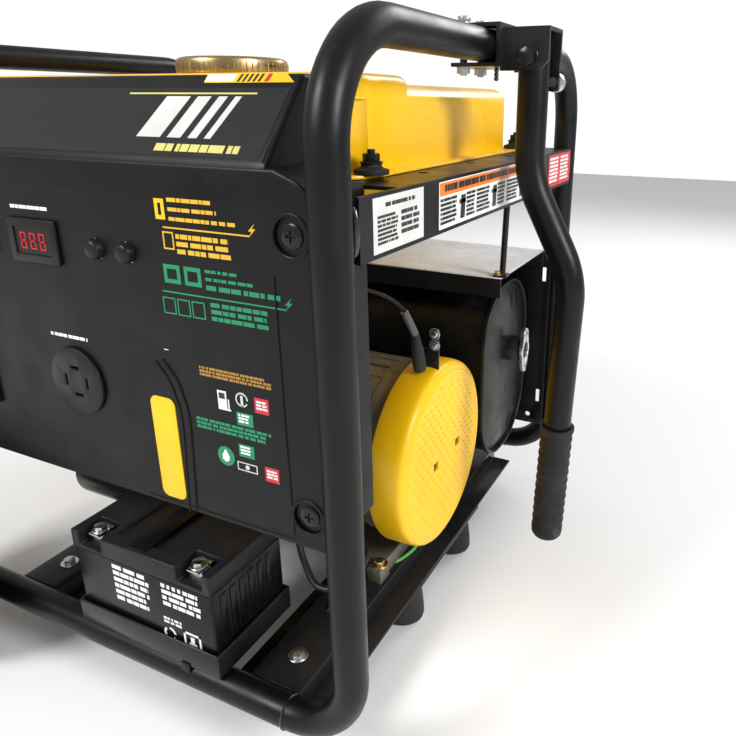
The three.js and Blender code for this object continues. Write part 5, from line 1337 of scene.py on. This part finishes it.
# ----------------------------------------------------------------------------- alternator
class GENERATOR_OT_alternator(bpy.types.Operator):
    """Alternator housing, grained end cover, stator and rotor"""

    bl_idname = "generator.alternator"
    bl_label = "Alternator"

    def execute(self, context):
        low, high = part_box("alternator_cover")
        deep = (high.x - low.x) / MM
        radius = (high.z - low.z) / 2 / MM
        profile = [(0, 0), (radius - 13, 0), (radius - 12, -0.9), (radius - 9.5, -0.9), (radius - 8.5, 0),
                   (radius - 5.5, 0.5), (radius - 3, 1.6), (radius - 1.2, 3.8), (radius - 0.4, 6.5),
                   (radius, 10),
                   (radius, deep - 1.5), (radius - 1, deep), (86.8, deep), (86.8, 6), (0, 6)]
        origin = Vector((high.x, SHAFT.y, SHAFT.z))
        cover = turned([(r * MM, (d + 0.9) * MM) for r, d in profile], origin, -X, 96)
        vents = [block((high.x - 4.6 * MM, y - 5 * MM, z - 4.5 * MM),
                       (high.x + 2 * MM, y + 5 * MM, z + 4.5 * MM))
                 for y, z in ((3.1 * MM, 174.4 * MM), (-47.5 * MM, 171.2 * MM))]
        cover = cut(cover, *vents)
        piece(cover, "alternator_end_cover", look("yellow"),
              stands_for="alternator_cover")
        self.grain(high.x - 0.9 * MM, radius)
        pins = []
        for y, z in ((3.1, 174.4), (-47.5, 171.2)):
            pins.append(block(at(0, y - 3, z - 1.2) + X * (high.x - 4 * MM),
                              at(0, y + 3, z + 1.2) + X * (high.x - 2 * MM)))
            pins.append(block(at(0, y - 1, z - 4) + X * (high.x - 4 * MM),
                              at(0, y + 1, z + 4) + X * (high.x - 2 * MM)))
        piece(joined(*pins), "cover_vent_clips", look("black_ink"))
        self.housing()
        for node, key in (("stator", "copper"), ("rotor", "iron")):
            a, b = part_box(node)
            inner = 58.6 if node == "stator" else 12.9
            outer = 76.6 if node == "stator" else 57.4
            section = [(inner, 0), (outer, 0), (outer, (b.x - a.x) / MM), (inner, (b.x - a.x) / MM),
                       (inner, 0)]
            drum = turned([(r * MM, d * MM) for r, d in section], (a.x, SHAFT.y, SHAFT.z), X, 72)
            piece(rounded(drum, 1 * MM, 2), f"{node}_windings", look(key),
                  "crank" if node == "rotor" else "root",
                  node)
        return {"FINISHED"}

    def grain(self, face, radius):
        """Raised saw-tooth grain in rows across the end face."""
        pitch = sizes().cover_grain
        studs = []
        reach = (radius - 15) * MM
        row = 0
        z = -reach
        while z < reach:
            y = -reach + (pitch / 2 if row % 2 else 0)
            while y < reach:
                far = math.hypot(y, z)
                by_vent = min(math.hypot(y - 29.1 * MM, z + 1.1 * MM),
                              math.hypot(y + 21.5 * MM, z + 4.3 * MM))
                if far < reach - 2 * MM and by_vent > 9 * MM:
                    studs.append((y, z))
                y += pitch
            z += pitch * 0.62
            row += 1
        points, faces = [], []
        for y, z in studs:
            start = len(points)
            half, tall = pitch * 0.43, pitch * 0.27
            base = [(0, -half, 0), (0, 0, -tall), (0, half, 0), (0, 0, tall)]
            points += [Vector((face - 0.2 * MM, SHAFT.y + y + b, SHAFT.z + z + c)) for _, b, c in base]
            points.append(Vector((face + 1.3 * MM, SHAFT.y + y + half * 0.25, SHAFT.z + z + tall * 0.1)))
            faces += [(start + i, start + (i + 1) % 4, start + 4) for i in range(4)]
            faces.append((start + 3, start + 2, start + 1, start))
        grain = from_points(points, faces=faces)
        edit_all()
        bpy.ops.mesh.normals_make_consistent(inside=False)
        bpy.ops.object.mode_set(mode="OBJECT")
        piece(grain, "end_cover_grain", look("yellow"), angle=5)

    def housing(self):
        low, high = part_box("alternator_housing")
        long = (high.x - low.x) / MM
        profile = [(78, 0), (86, 0), (86, 8), (84.6, 9), (84.6, 62), (86, 63), (86, 68), (84.6, 69),
                   (84.6, long - 44), (86, long - 43), (86, long), (12.9, long), (12.9, long - 6),
                   (77.2, long - 6),
                   (77.2, 0), (78, 0)]
        drum = turned([(r * MM, d * MM) for r, d in profile], (low.x, SHAFT.y, SHAFT.z), X, 96)
        ribs = []
        for degrees in list(range(0, 360, 12)):
            if 225 < degrees < 315:
                continue
            a = math.radians(degrees)
            out = Vector((0, math.cos(a), math.sin(a)))
            along = Vector((low.x + 72 * MM, SHAFT.y, SHAFT.z)) + out * 84.6 * MM
            ribs.append(rod(along, along + X * (long - 118) * MM, 1.5 * MM, 10))
        feet = block((low.x + 70 * MM, SHAFT.y - 58 * MM, low.z),
                     (high.x - 26 * MM, SHAFT.y + 58 * MM, low.z + 18 * MM))
        lugs = []
        for degrees in (52, 128, 232, 308):
            a = math.radians(degrees)
            out = Vector((0, math.cos(a), math.sin(a)))
            seat = Vector((low.x + 2 * MM, SHAFT.y, SHAFT.z)) + out * 84 * MM
            lugs.append(rod(seat, seat + X * 22 * MM, 5 * MM, 24))
        piece(joined(drum, *ribs, rounded(feet, 2 * MM, 2), *lugs), "alternator_casting", look("casting"),
              stands_for="alternator_housing")
        bolts = [hex_bolt((high.x - 30 * MM, y, low.z + 16 * MM), Z, 5 * MM, 4 * MM, 8 * MM)
                 for y in (SHAFT.y - 66 * MM, SHAFT.y + 66 * MM)]
        straps = [rounded(block((high.x - 40 * MM, y - 9 * MM, low.z),
                                (high.x - 24 * MM, y + 9 * MM, low.z + 16 * MM)),
                          1 * MM, 2) for y in (SHAFT.y - 66 * MM, SHAFT.y + 66 * MM)]
        piece(joined(*bolts), "alternator_feet_bolts", look("gold_zinc"))
        piece(joined(*straps), "alternator_feet", look("casting"))
        shield = block(at(196, -36, 284), at(204, -34, 306))
        leg = block(at(186, -36, 262), at(204, -33.6, 286))
        piece(rounded(joined(shield, leg), 0.5 * MM, 2), "cable_bracket", look("gloss_paint"))
        heads = [hex_bolt(at(200, -36, z), -Y, 3.6 * MM, 2.6 * MM, 5.4 * MM) for z in (290, 301)]
        piece(joined(*heads), "cable_bracket_bolts", look("zinc"))


# -------------------------------------------------------------------------------- exhaust
class GENERATOR_OT_exhaust(bpy.types.Operator):
    """Muffler with rolled rims, heat shield, guard plate, outlet and support rod"""

    bl_idname = "generator.exhaust"
    bl_label = "Exhaust"

    def execute(self, context):
        low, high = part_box("muffler")
        outlet = high.x
        y0, y1, z0, z1 = low.y + 1.5 * MM, high.y - 1.5 * MM, low.z + 1.5 * MM, high.z - 1.5 * MM
        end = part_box("heat_shield")[1].x - 12 * MM
        start = end - 187 * MM
        radius = 66 * MM
        drum = plate(round_rectangle((y0, z0), (y1, z1), radius, 14), "x", start, end - 3 * MM)
        stepped_face(drum, X, [(1.2 * MM, 0), (0.6 * MM, -4 * MM), (9 * MM, 2.4 * MM), (14 * MM, 2.6 * MM),
                               (16 * MM, 1.2 * MM)])
        rims = []
        for x in (start + 1 * MM, end - 8 * MM):
            rim = plate(round_rectangle((low.y, low.z), (high.y, high.z), radius, 14), "x", x, x + 6 * MM)
            hole = plate(round_rectangle((low.y + 3 * MM, low.z + 3 * MM),
                                         (high.y - 3 * MM, high.z - 3 * MM),
                                         radius - 3 * MM, 14), "x", x - 1 * MM, x + 7 * MM)
            rims.append(rounded(cut(rim, hole), 1.4 * MM, 3))
        seam = tube([Vector((end - 1.4 * MM, (y0 + y1) / 2 + 12 * MM, z * MM)) for z in (112, 300)],
                    0.9 * MM, resolution=3)
        mid = Vector((end, 151.6 * MM, 227 * MM))
        stub = turned([(0, -6), (15, -6), (15, 6), (13, 10), (12.6, 12), (10, 12), (10, -2), (0, -2)],
                      (0, 0, 0), X, 40)
        stub.data.transform(Matrix.Translation(mid) @ Matrix.Scale(MM, 4))
        piece(joined(drum, *rims, seam, stub), "muffler_drum", look("heat_paint"),
              stands_for="muffler")
        flange = plate([(mid.y + p * MM, mid.z + q * MM) for p, q in self.oval(13, 27)], "x",
                       outlet - 5 * MM, outlet)
        flange = cut(flange, rod((outlet - 9 * MM, mid.y, mid.z), (outlet + 1 * MM, mid.y, mid.z), 9.6 * MM,
                                 40))
        piece(rounded(flange, 0.9 * MM, 3), "outlet_flange", look("zinc"))
        screen = rod((outlet - 8 * MM, mid.y, mid.z), (outlet - 4 * MM, mid.y, mid.z), 9.7 * MM, 40)
        piece(screen, "outlet_screen", look("iron"))
        heads = [hex_bolt((outlet - 0.6 * MM, mid.y, mid.z + s * 19.5 * MM), X, 4.4 * MM, 0.6 * MM,
                          0) for s in (-1, 1)]
        piece(joined(*heads), "outlet_bolts", look("steel"))
        self.shield()
        return {"FINISHED"}

    def oval(self, half, tall, steps=12):
        """A flange outline: a round middle and two smaller round ears."""
        ear = 8
        points = []
        for centre, radius, start, stop in (((0, 0), half, -35, 35), ((0, tall - ear), ear, 20, 160),
                                            ((0, 0), half, 145, 215), ((0, ear - tall), ear, 200, 340)):
            points += arc(centre, radius, start, stop, steps)
        return points

    def shield(self):
        low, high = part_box("heat_shield")
        top = block((low.x, low.y, high.z - 1.4 * MM), high)
        piece(rounded(top, 0.5 * MM, 2), "heat_shield_top", look("galvanised"))
        lips = [block(low, (high.x, low.y + 2 * MM, high.z - 1.6 * MM)),
                block((low.x, high.y - 2 * MM, low.z), (high.x, high.y, high.z - 1.6 * MM))]
        under = block((low.x + 0.5 * MM, low.y + 1 * MM, high.z - 3 * MM),
                      (high.x - 0.5 * MM, high.y - 1 * MM, high.z - 1.5 * MM))
        piece(rounded(joined(*lips, under), 0.4 * MM, 1), "heat_shield_band", look("heat_paint"),
              stands_for="heat_shield")
        guard = rounded(cast("guard_plate", 3), 0.6 * MM, 2)
        piece(guard, "muffler_guard", look("paint"), stands_for="guard_plate")
        foot = high.z
        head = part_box("right_crossmember")[0].z
        bar = tube([at(222, 82, 0) + Z * (foot + 2 * MM), at(224, 84, 0) + Z * (head + 6 * MM)], 3.2 * MM,
                   resolution=4)
        shoe = rounded(block(at(214, 75, 0) + Z * foot, at(228, 90, 0) + Z * (foot + 2.2 * MM)), 0.6 * MM,
                       2)
        piece(joined(bar, shoe), "shield_support_rod", look("gloss_paint"))
        bolt = hex_bolt(at(218, 79, 0) + Z * (foot + 2 * MM), Z, 3.6 * MM, 3 * MM, 5.4 * MM)
        piece(bolt, "support_rod_bolt", look("gold_zinc"))


# --------------------------------------------------------------------------------- engine
class GENERATOR_OT_engine(bpy.types.Operator):
    """Engine block, head with fins, blower, recoil starter, carburettor and air filter"""

    bl_idname = "generator.engine"
    bl_label = "Engine"

    def execute(self, context):
        for node, name, key, slot_name, width in (
                ("crankcase", "engine_block", "casting", "aluminium", 1.6),
                ("valve_cover", "rocker_cover", "gloss_paint", "engine_black", 2.0),
                ("carburettor", "carburettor_body", "casting", "aluminium", 1.0),
                ("air_filter", "air_filter_case", "plastic", "black_plastic", 4.0)):
            shape = rounded(cast(node, 5), width * MM, 3)
            piece(shape, name, look(key), stands_for=node)
        self.head()
        self.fan_side()
        self.recoil()
        self.bolts()
        return {"FINISHED"}

    def head(self):
        shape = rounded(cast("cylinder_head", 5), 1 * MM, 2)
        tilt = math.radians(25)
        out = Vector((0, math.cos(tilt), math.sin(tilt)))
        up = Vector((0, -math.sin(tilt), math.cos(tilt)))
        base = Vector((middle("cylinder_head").x, SHAFT.y, SHAFT.z))
        fins = []
        for i in range(7):
            near = base + out * (92 + i * 6.4) * MM
            corners = [near + X * sx * 53 * MM + up * sz * 53 * MM for sx,
                       sz in ((-1, -1), (1, -1), (1, 1), (-1, 1))]
            fin = from_points(corners, faces=[(0, 1, 2, 3)])
            edit_all()
            bpy.ops.mesh.extrude_region_move(TRANSFORM_OT_translate={"value": out * 2.2 * MM})
            mend()
            fins.append(rounded(fin, 0.7 * MM, 2))
        piece(joined(shape, *fins), "finned_head", look("casting"),
              stands_for="cylinder_head")
        plug = base + out * 150 * MM - up * 20 * MM + X * 40 * MM
        porcelain = turned([(0, 0), (7 * MM, 0), (7 * MM, 6 * MM), (4.4 * MM, 8 * MM), (4.4 * MM, 18 * MM),
                            (0, 18 * MM)],
                           plug, X + out * 0.6, 20)
        piece(porcelain, "spark_plug", look("white_ink"))
        cap_at = plug + (X + out * 0.6).normalized() * 12 * MM
        boot = turned([(0, 0), (7 * MM, 0), (7.6 * MM, 4 * MM), (6.4 * MM, 14 * MM), (0, 15 * MM)], cap_at,
                      X + out * 0.6, 24)
        piece(boot, "spark_plug_boot", look("rubber"))

    def fan_side(self):
        low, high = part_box("blower_housing")
        drum_r = (high.z - low.z) / 2 / MM
        long = (high.x - low.x) / MM
        profile = [(drum_r - 4, 0), (drum_r, 0), (drum_r, 3), (drum_r - 1.4, 4), (drum_r - 1.4, long - 10),
                   (drum_r - 3, long - 4), (drum_r - 9, long), (72.5, long), (72.5, long - 3.6),
                   (drum_r - 11, long - 3.6),
                   (drum_r - 5.4, long - 8), (drum_r - 4, 0)]
        drum = turned([(r * MM, d * MM) for r, d in profile], (high.x, SHAFT.y, SHAFT.z), -X, 96)
        piece(drum, "blower_cowl", look("gloss_paint"), stands_for="blower_housing")
        low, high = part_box("flywheel")
        wheel_r = (high.z - low.z) / 2 / MM
        thick = (high.x - low.x) / MM
        disc = turned([(r * MM, d * MM) for r, d in ((12.9, 0), (wheel_r - 14, 0), (wheel_r - 14, 4),
                                                     (wheel_r, 4),
                                                     (wheel_r, 16), (20, 16), (20, thick), (12.9, thick),
                                                     (12.9, 0))],
                      (high.x, SHAFT.y, SHAFT.z), -X, 72)
        vane = block((low.x + 1 * MM, SHAFT.y + 42 * MM, SHAFT.z - 1 * MM),
                     (high.x - 15 * MM, SHAFT.y + (wheel_r - 4) * MM, SHAFT.z + 1 * MM))
        vanes = around(vane, 20, (0, SHAFT.y, SHAFT.z), "X")
        piece(joined(disc, vanes), "flywheel_fan", look("iron"), "crank", "flywheel")

    def recoil(self):
        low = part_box("recoil_cover")[0]
        shape = cast("recoil_cover", 3)
        piece(rounded(shape, 1.2 * MM, 2, 40), "recoil_cup", look("yellow"),
              stands_for="recoil_cover")
        # Black strokes stand in for the cover's air slots: painted shade of the openings.
        slots = []
        for i in range(16):
            a = math.tau * i / 16
            out = Vector((0, math.cos(a), math.sin(a)))
            slots.append(tube([Vector((low.x - 0.1 * MM, SHAFT.y, SHAFT.z)) + out * r * MM for r in (34,
                                                                                                     66)],
                              1.5 * MM, resolution=3))
        piece(joined(*slots), "recoil_slot_painted_shade", look("black_ink"))
        badge = turned([(0, 0), (24 * MM, 0), (23 * MM, 0.8 * MM), (0, 1 * MM)], (low.x, SHAFT.y, SHAFT.z),
                       -X, 48)
        piece(badge, "recoil_badge", look("grey_label"))
        rope_low, rope_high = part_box("recoil_rope")
        inner = Vector((middle("recoil_rope").x, rope_high.y, rope_low.z))
        inner, outer = self.rope_ends()
        line = [inner.lerp(outer, i / 24) for i in range(25)]
        rope = tube(line, 1.9 * MM, resolution=3)
        only(rope)
        bpy.ops.object.shade_smooth_by_angle(angle=math.radians(40))
        rope.name = "starter_rope"
        rope.data.name = "starter_rope"
        rope.data.materials.append(look("cable"))
        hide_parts("recoil_rope")
        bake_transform(rope)
        grip = rounded(cast("recoil_grip", 12), 1.6 * MM, 3)
        piece(grip, "starter_grip", look("rubber"), "pull_cord", "recoil_grip", 60)
        reel = rounded(cast("recoil_pulley", 3), 0.6 * MM, 2)
        piece(reel, "rope_reel", look("plastic"), "recoil_reel", "recoil_pulley")

    def rope_ends(self):
        """The rope's centre line: from the reel's rim to the grip's seat, rising by the pull's tilt."""
        low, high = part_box("recoil_rope")
        x = (low.x + high.x) / 2
        tilt = math.radians(15)
        away = Vector((0, -math.cos(tilt), math.sin(tilt)))
        above = Vector((0, math.sin(tilt), math.cos(tilt)))
        start = Vector((x, SHAFT.y, SHAFT.z)) + above * 47.4 * MM
        return start, start + away * 89.2 * MM

    def bolts(self):
        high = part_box("crankcase")[1]
        heads = [hex_bolt((high.x - 8 * MM, y * MM, z * MM), X, 4.6 * MM, 3.4 * MM, 0)
                 for y, z in ((-98, 92), (-98, 250), (44, 92), (44, 240))]
        piece(joined(*heads), "engine_block_bolts", look("zinc"))
        plug = rounded(cast("dipstick", 12), 1.2 * MM, 3)
        piece(plug, "oil_filler_plug", look("yellow"), "oil_plug", "dipstick")
        motor = rounded(cast("starter_motor", 12), 1.6 * MM, 3)
        piece(motor, "starter_motor_body", look("gloss_paint"),
              stands_for="starter_motor")


# --------------------------------------------------------------------------------- wheels
class GENERATOR_OT_wheels(bpy.types.Operator):
    """Treaded tyres on spoked hubs"""

    bl_idname = "generator.wheels"
    bl_label = "Wheels"

    def execute(self, context):
        for side in ("front", "rear"):
            low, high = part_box(f"{side}_tyre")
            centre = (low + high) / 2
            wide = (high.y - low.y) / MM
            outer = (high.z - low.z) / 2 / MM
            shoulder = [(outer - 33.2, 3), (outer - 26, 1), (outer - 14, 0), (outer - 5, 3.4),
                        (outer - 2.4, 8)]
            crown = [(outer - 2.2, wide / 2)]
            mirror_side = [(r, wide - d) for r, d in reversed(shoulder)]
            profile = shoulder + crown + mirror_side + [shoulder[0]]
            body = turned([(r * MM, d * MM) for r, d in profile], (centre.x, low.y, centre.z), Y, 96)
            lugs = []
            for a, b, turn in ((4, 15, 0), (17, 27, 0.5), (29, 40, 0)):
                lug = block((centre.x - 5.6 * MM, low.y + a * MM, high.z - 3 * MM),
                            (centre.x + 5.6 * MM, low.y + b * MM, high.z - 0.12 * MM))
                rounded(lug, 0.6 * MM, 1)
                spin = math.tau * turn / sizes().tread_blocks
                lug.data.transform(Matrix.Translation(centre) @ Matrix.Rotation(spin, 4, "Y")
                                   @ Matrix.Translation(-centre))
                lugs.append(around(lug, sizes().tread_blocks, centre, "Y"))
            body_name = f"{side}_wheel"
            piece(joined(body, *lugs), f"{side}_tyre_tread", look("tyre"), body_name,
                  f"{side}_tyre")
            hub = rounded(cast(f"{side}_hub", 3), 1.1 * MM, 2, 40)
            piece(hub, f"{side}_spoked_hub", look("plastic"), body_name, f"{side}_hub")
            axle = rounded(cast(f"{side}_axle", 3), 0.9 * MM, 2, 40)
            piece(axle, f"{side}_wheel_axle", look("zinc"), stands_for=f"{side}_axle")
        return {"FINISHED"}


class GENERATOR_OT_finishes(bpy.types.Operator):
    """Gives the frame's own pieces that stay in view their materials"""

    bl_idname = "generator.finishes"
    bl_label = "Finishes"

    finishes = {
        "cap_insert": "zinc", "crankshaft": "steel", "piston": "steel", "choke_lever": "zinc",
        "fuel_lever": "red",
    }

    def execute(self, context):
        for node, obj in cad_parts.items():
            key = self.finishes.get(node, "paint")
            if not obj.material_slots:
                obj.data.materials.append(look(key))
            for spot in obj.material_slots:
                spot.material = look(key)
        return {"FINISHED"}


# ------------------------------------------------------------------------- panel and start
class GENERATOR_PT_sidebar(bpy.types.Panel):
    """Lists the generator's groups and settings"""

    bl_idname = "GENERATOR_PT_sidebar"
    bl_label = "Generator"
    bl_space_type = "VIEW_3D"
    bl_region_type = "UI"
    bl_category = "Generator"

    def draw(self, context):
        for group in (context.scene.generator_sizes, context.scene.generator_colours,
                      context.scene.studio_settings):
            box = self.layout.box()
            for name in group.bl_rna.properties.keys():
                if name not in {"rna_type", "name"}:
                    box.prop(group, name)
        for operator in STEPS:
            self.layout.operator(operator.bl_idname)


STEPS = (GENERATOR_OT_stage, GENERATOR_OT_leads, GENERATOR_OT_frame, GENERATOR_OT_handle, GENERATOR_OT_tank,
         GENERATOR_OT_panel, GENERATOR_OT_battery, GENERATOR_OT_alternator, GENERATOR_OT_exhaust,
         GENERATOR_OT_engine, GENERATOR_OT_wheels, GENERATOR_OT_finishes)
GROUPS = {"generator_sizes": GeneratorSizes, "generator_colours": GeneratorColours,
          "studio_settings": StudioSettings}


def register():
    for group in GROUPS.values():
        bpy.utils.register_class(group)
    for name, group in GROUPS.items():
        setattr(bpy.types.Scene, name, PointerProperty(type=group))
    for made in (*STEPS, GENERATOR_PT_sidebar):
        bpy.utils.register_class(made)


def unregister():
    for made in (GENERATOR_PT_sidebar, *reversed(STEPS)):
        bpy.utils.unregister_class(made)
    for name, group in GROUPS.items():
        delattr(bpy.types.Scene, name)
        bpy.utils.unregister_class(group)


def main():
    register()
    for step in STEPS:
        group, name = step.bl_idname.split(".")
        getattr(getattr(bpy.ops, group), name)()


if __name__ == "__main__":
    main()
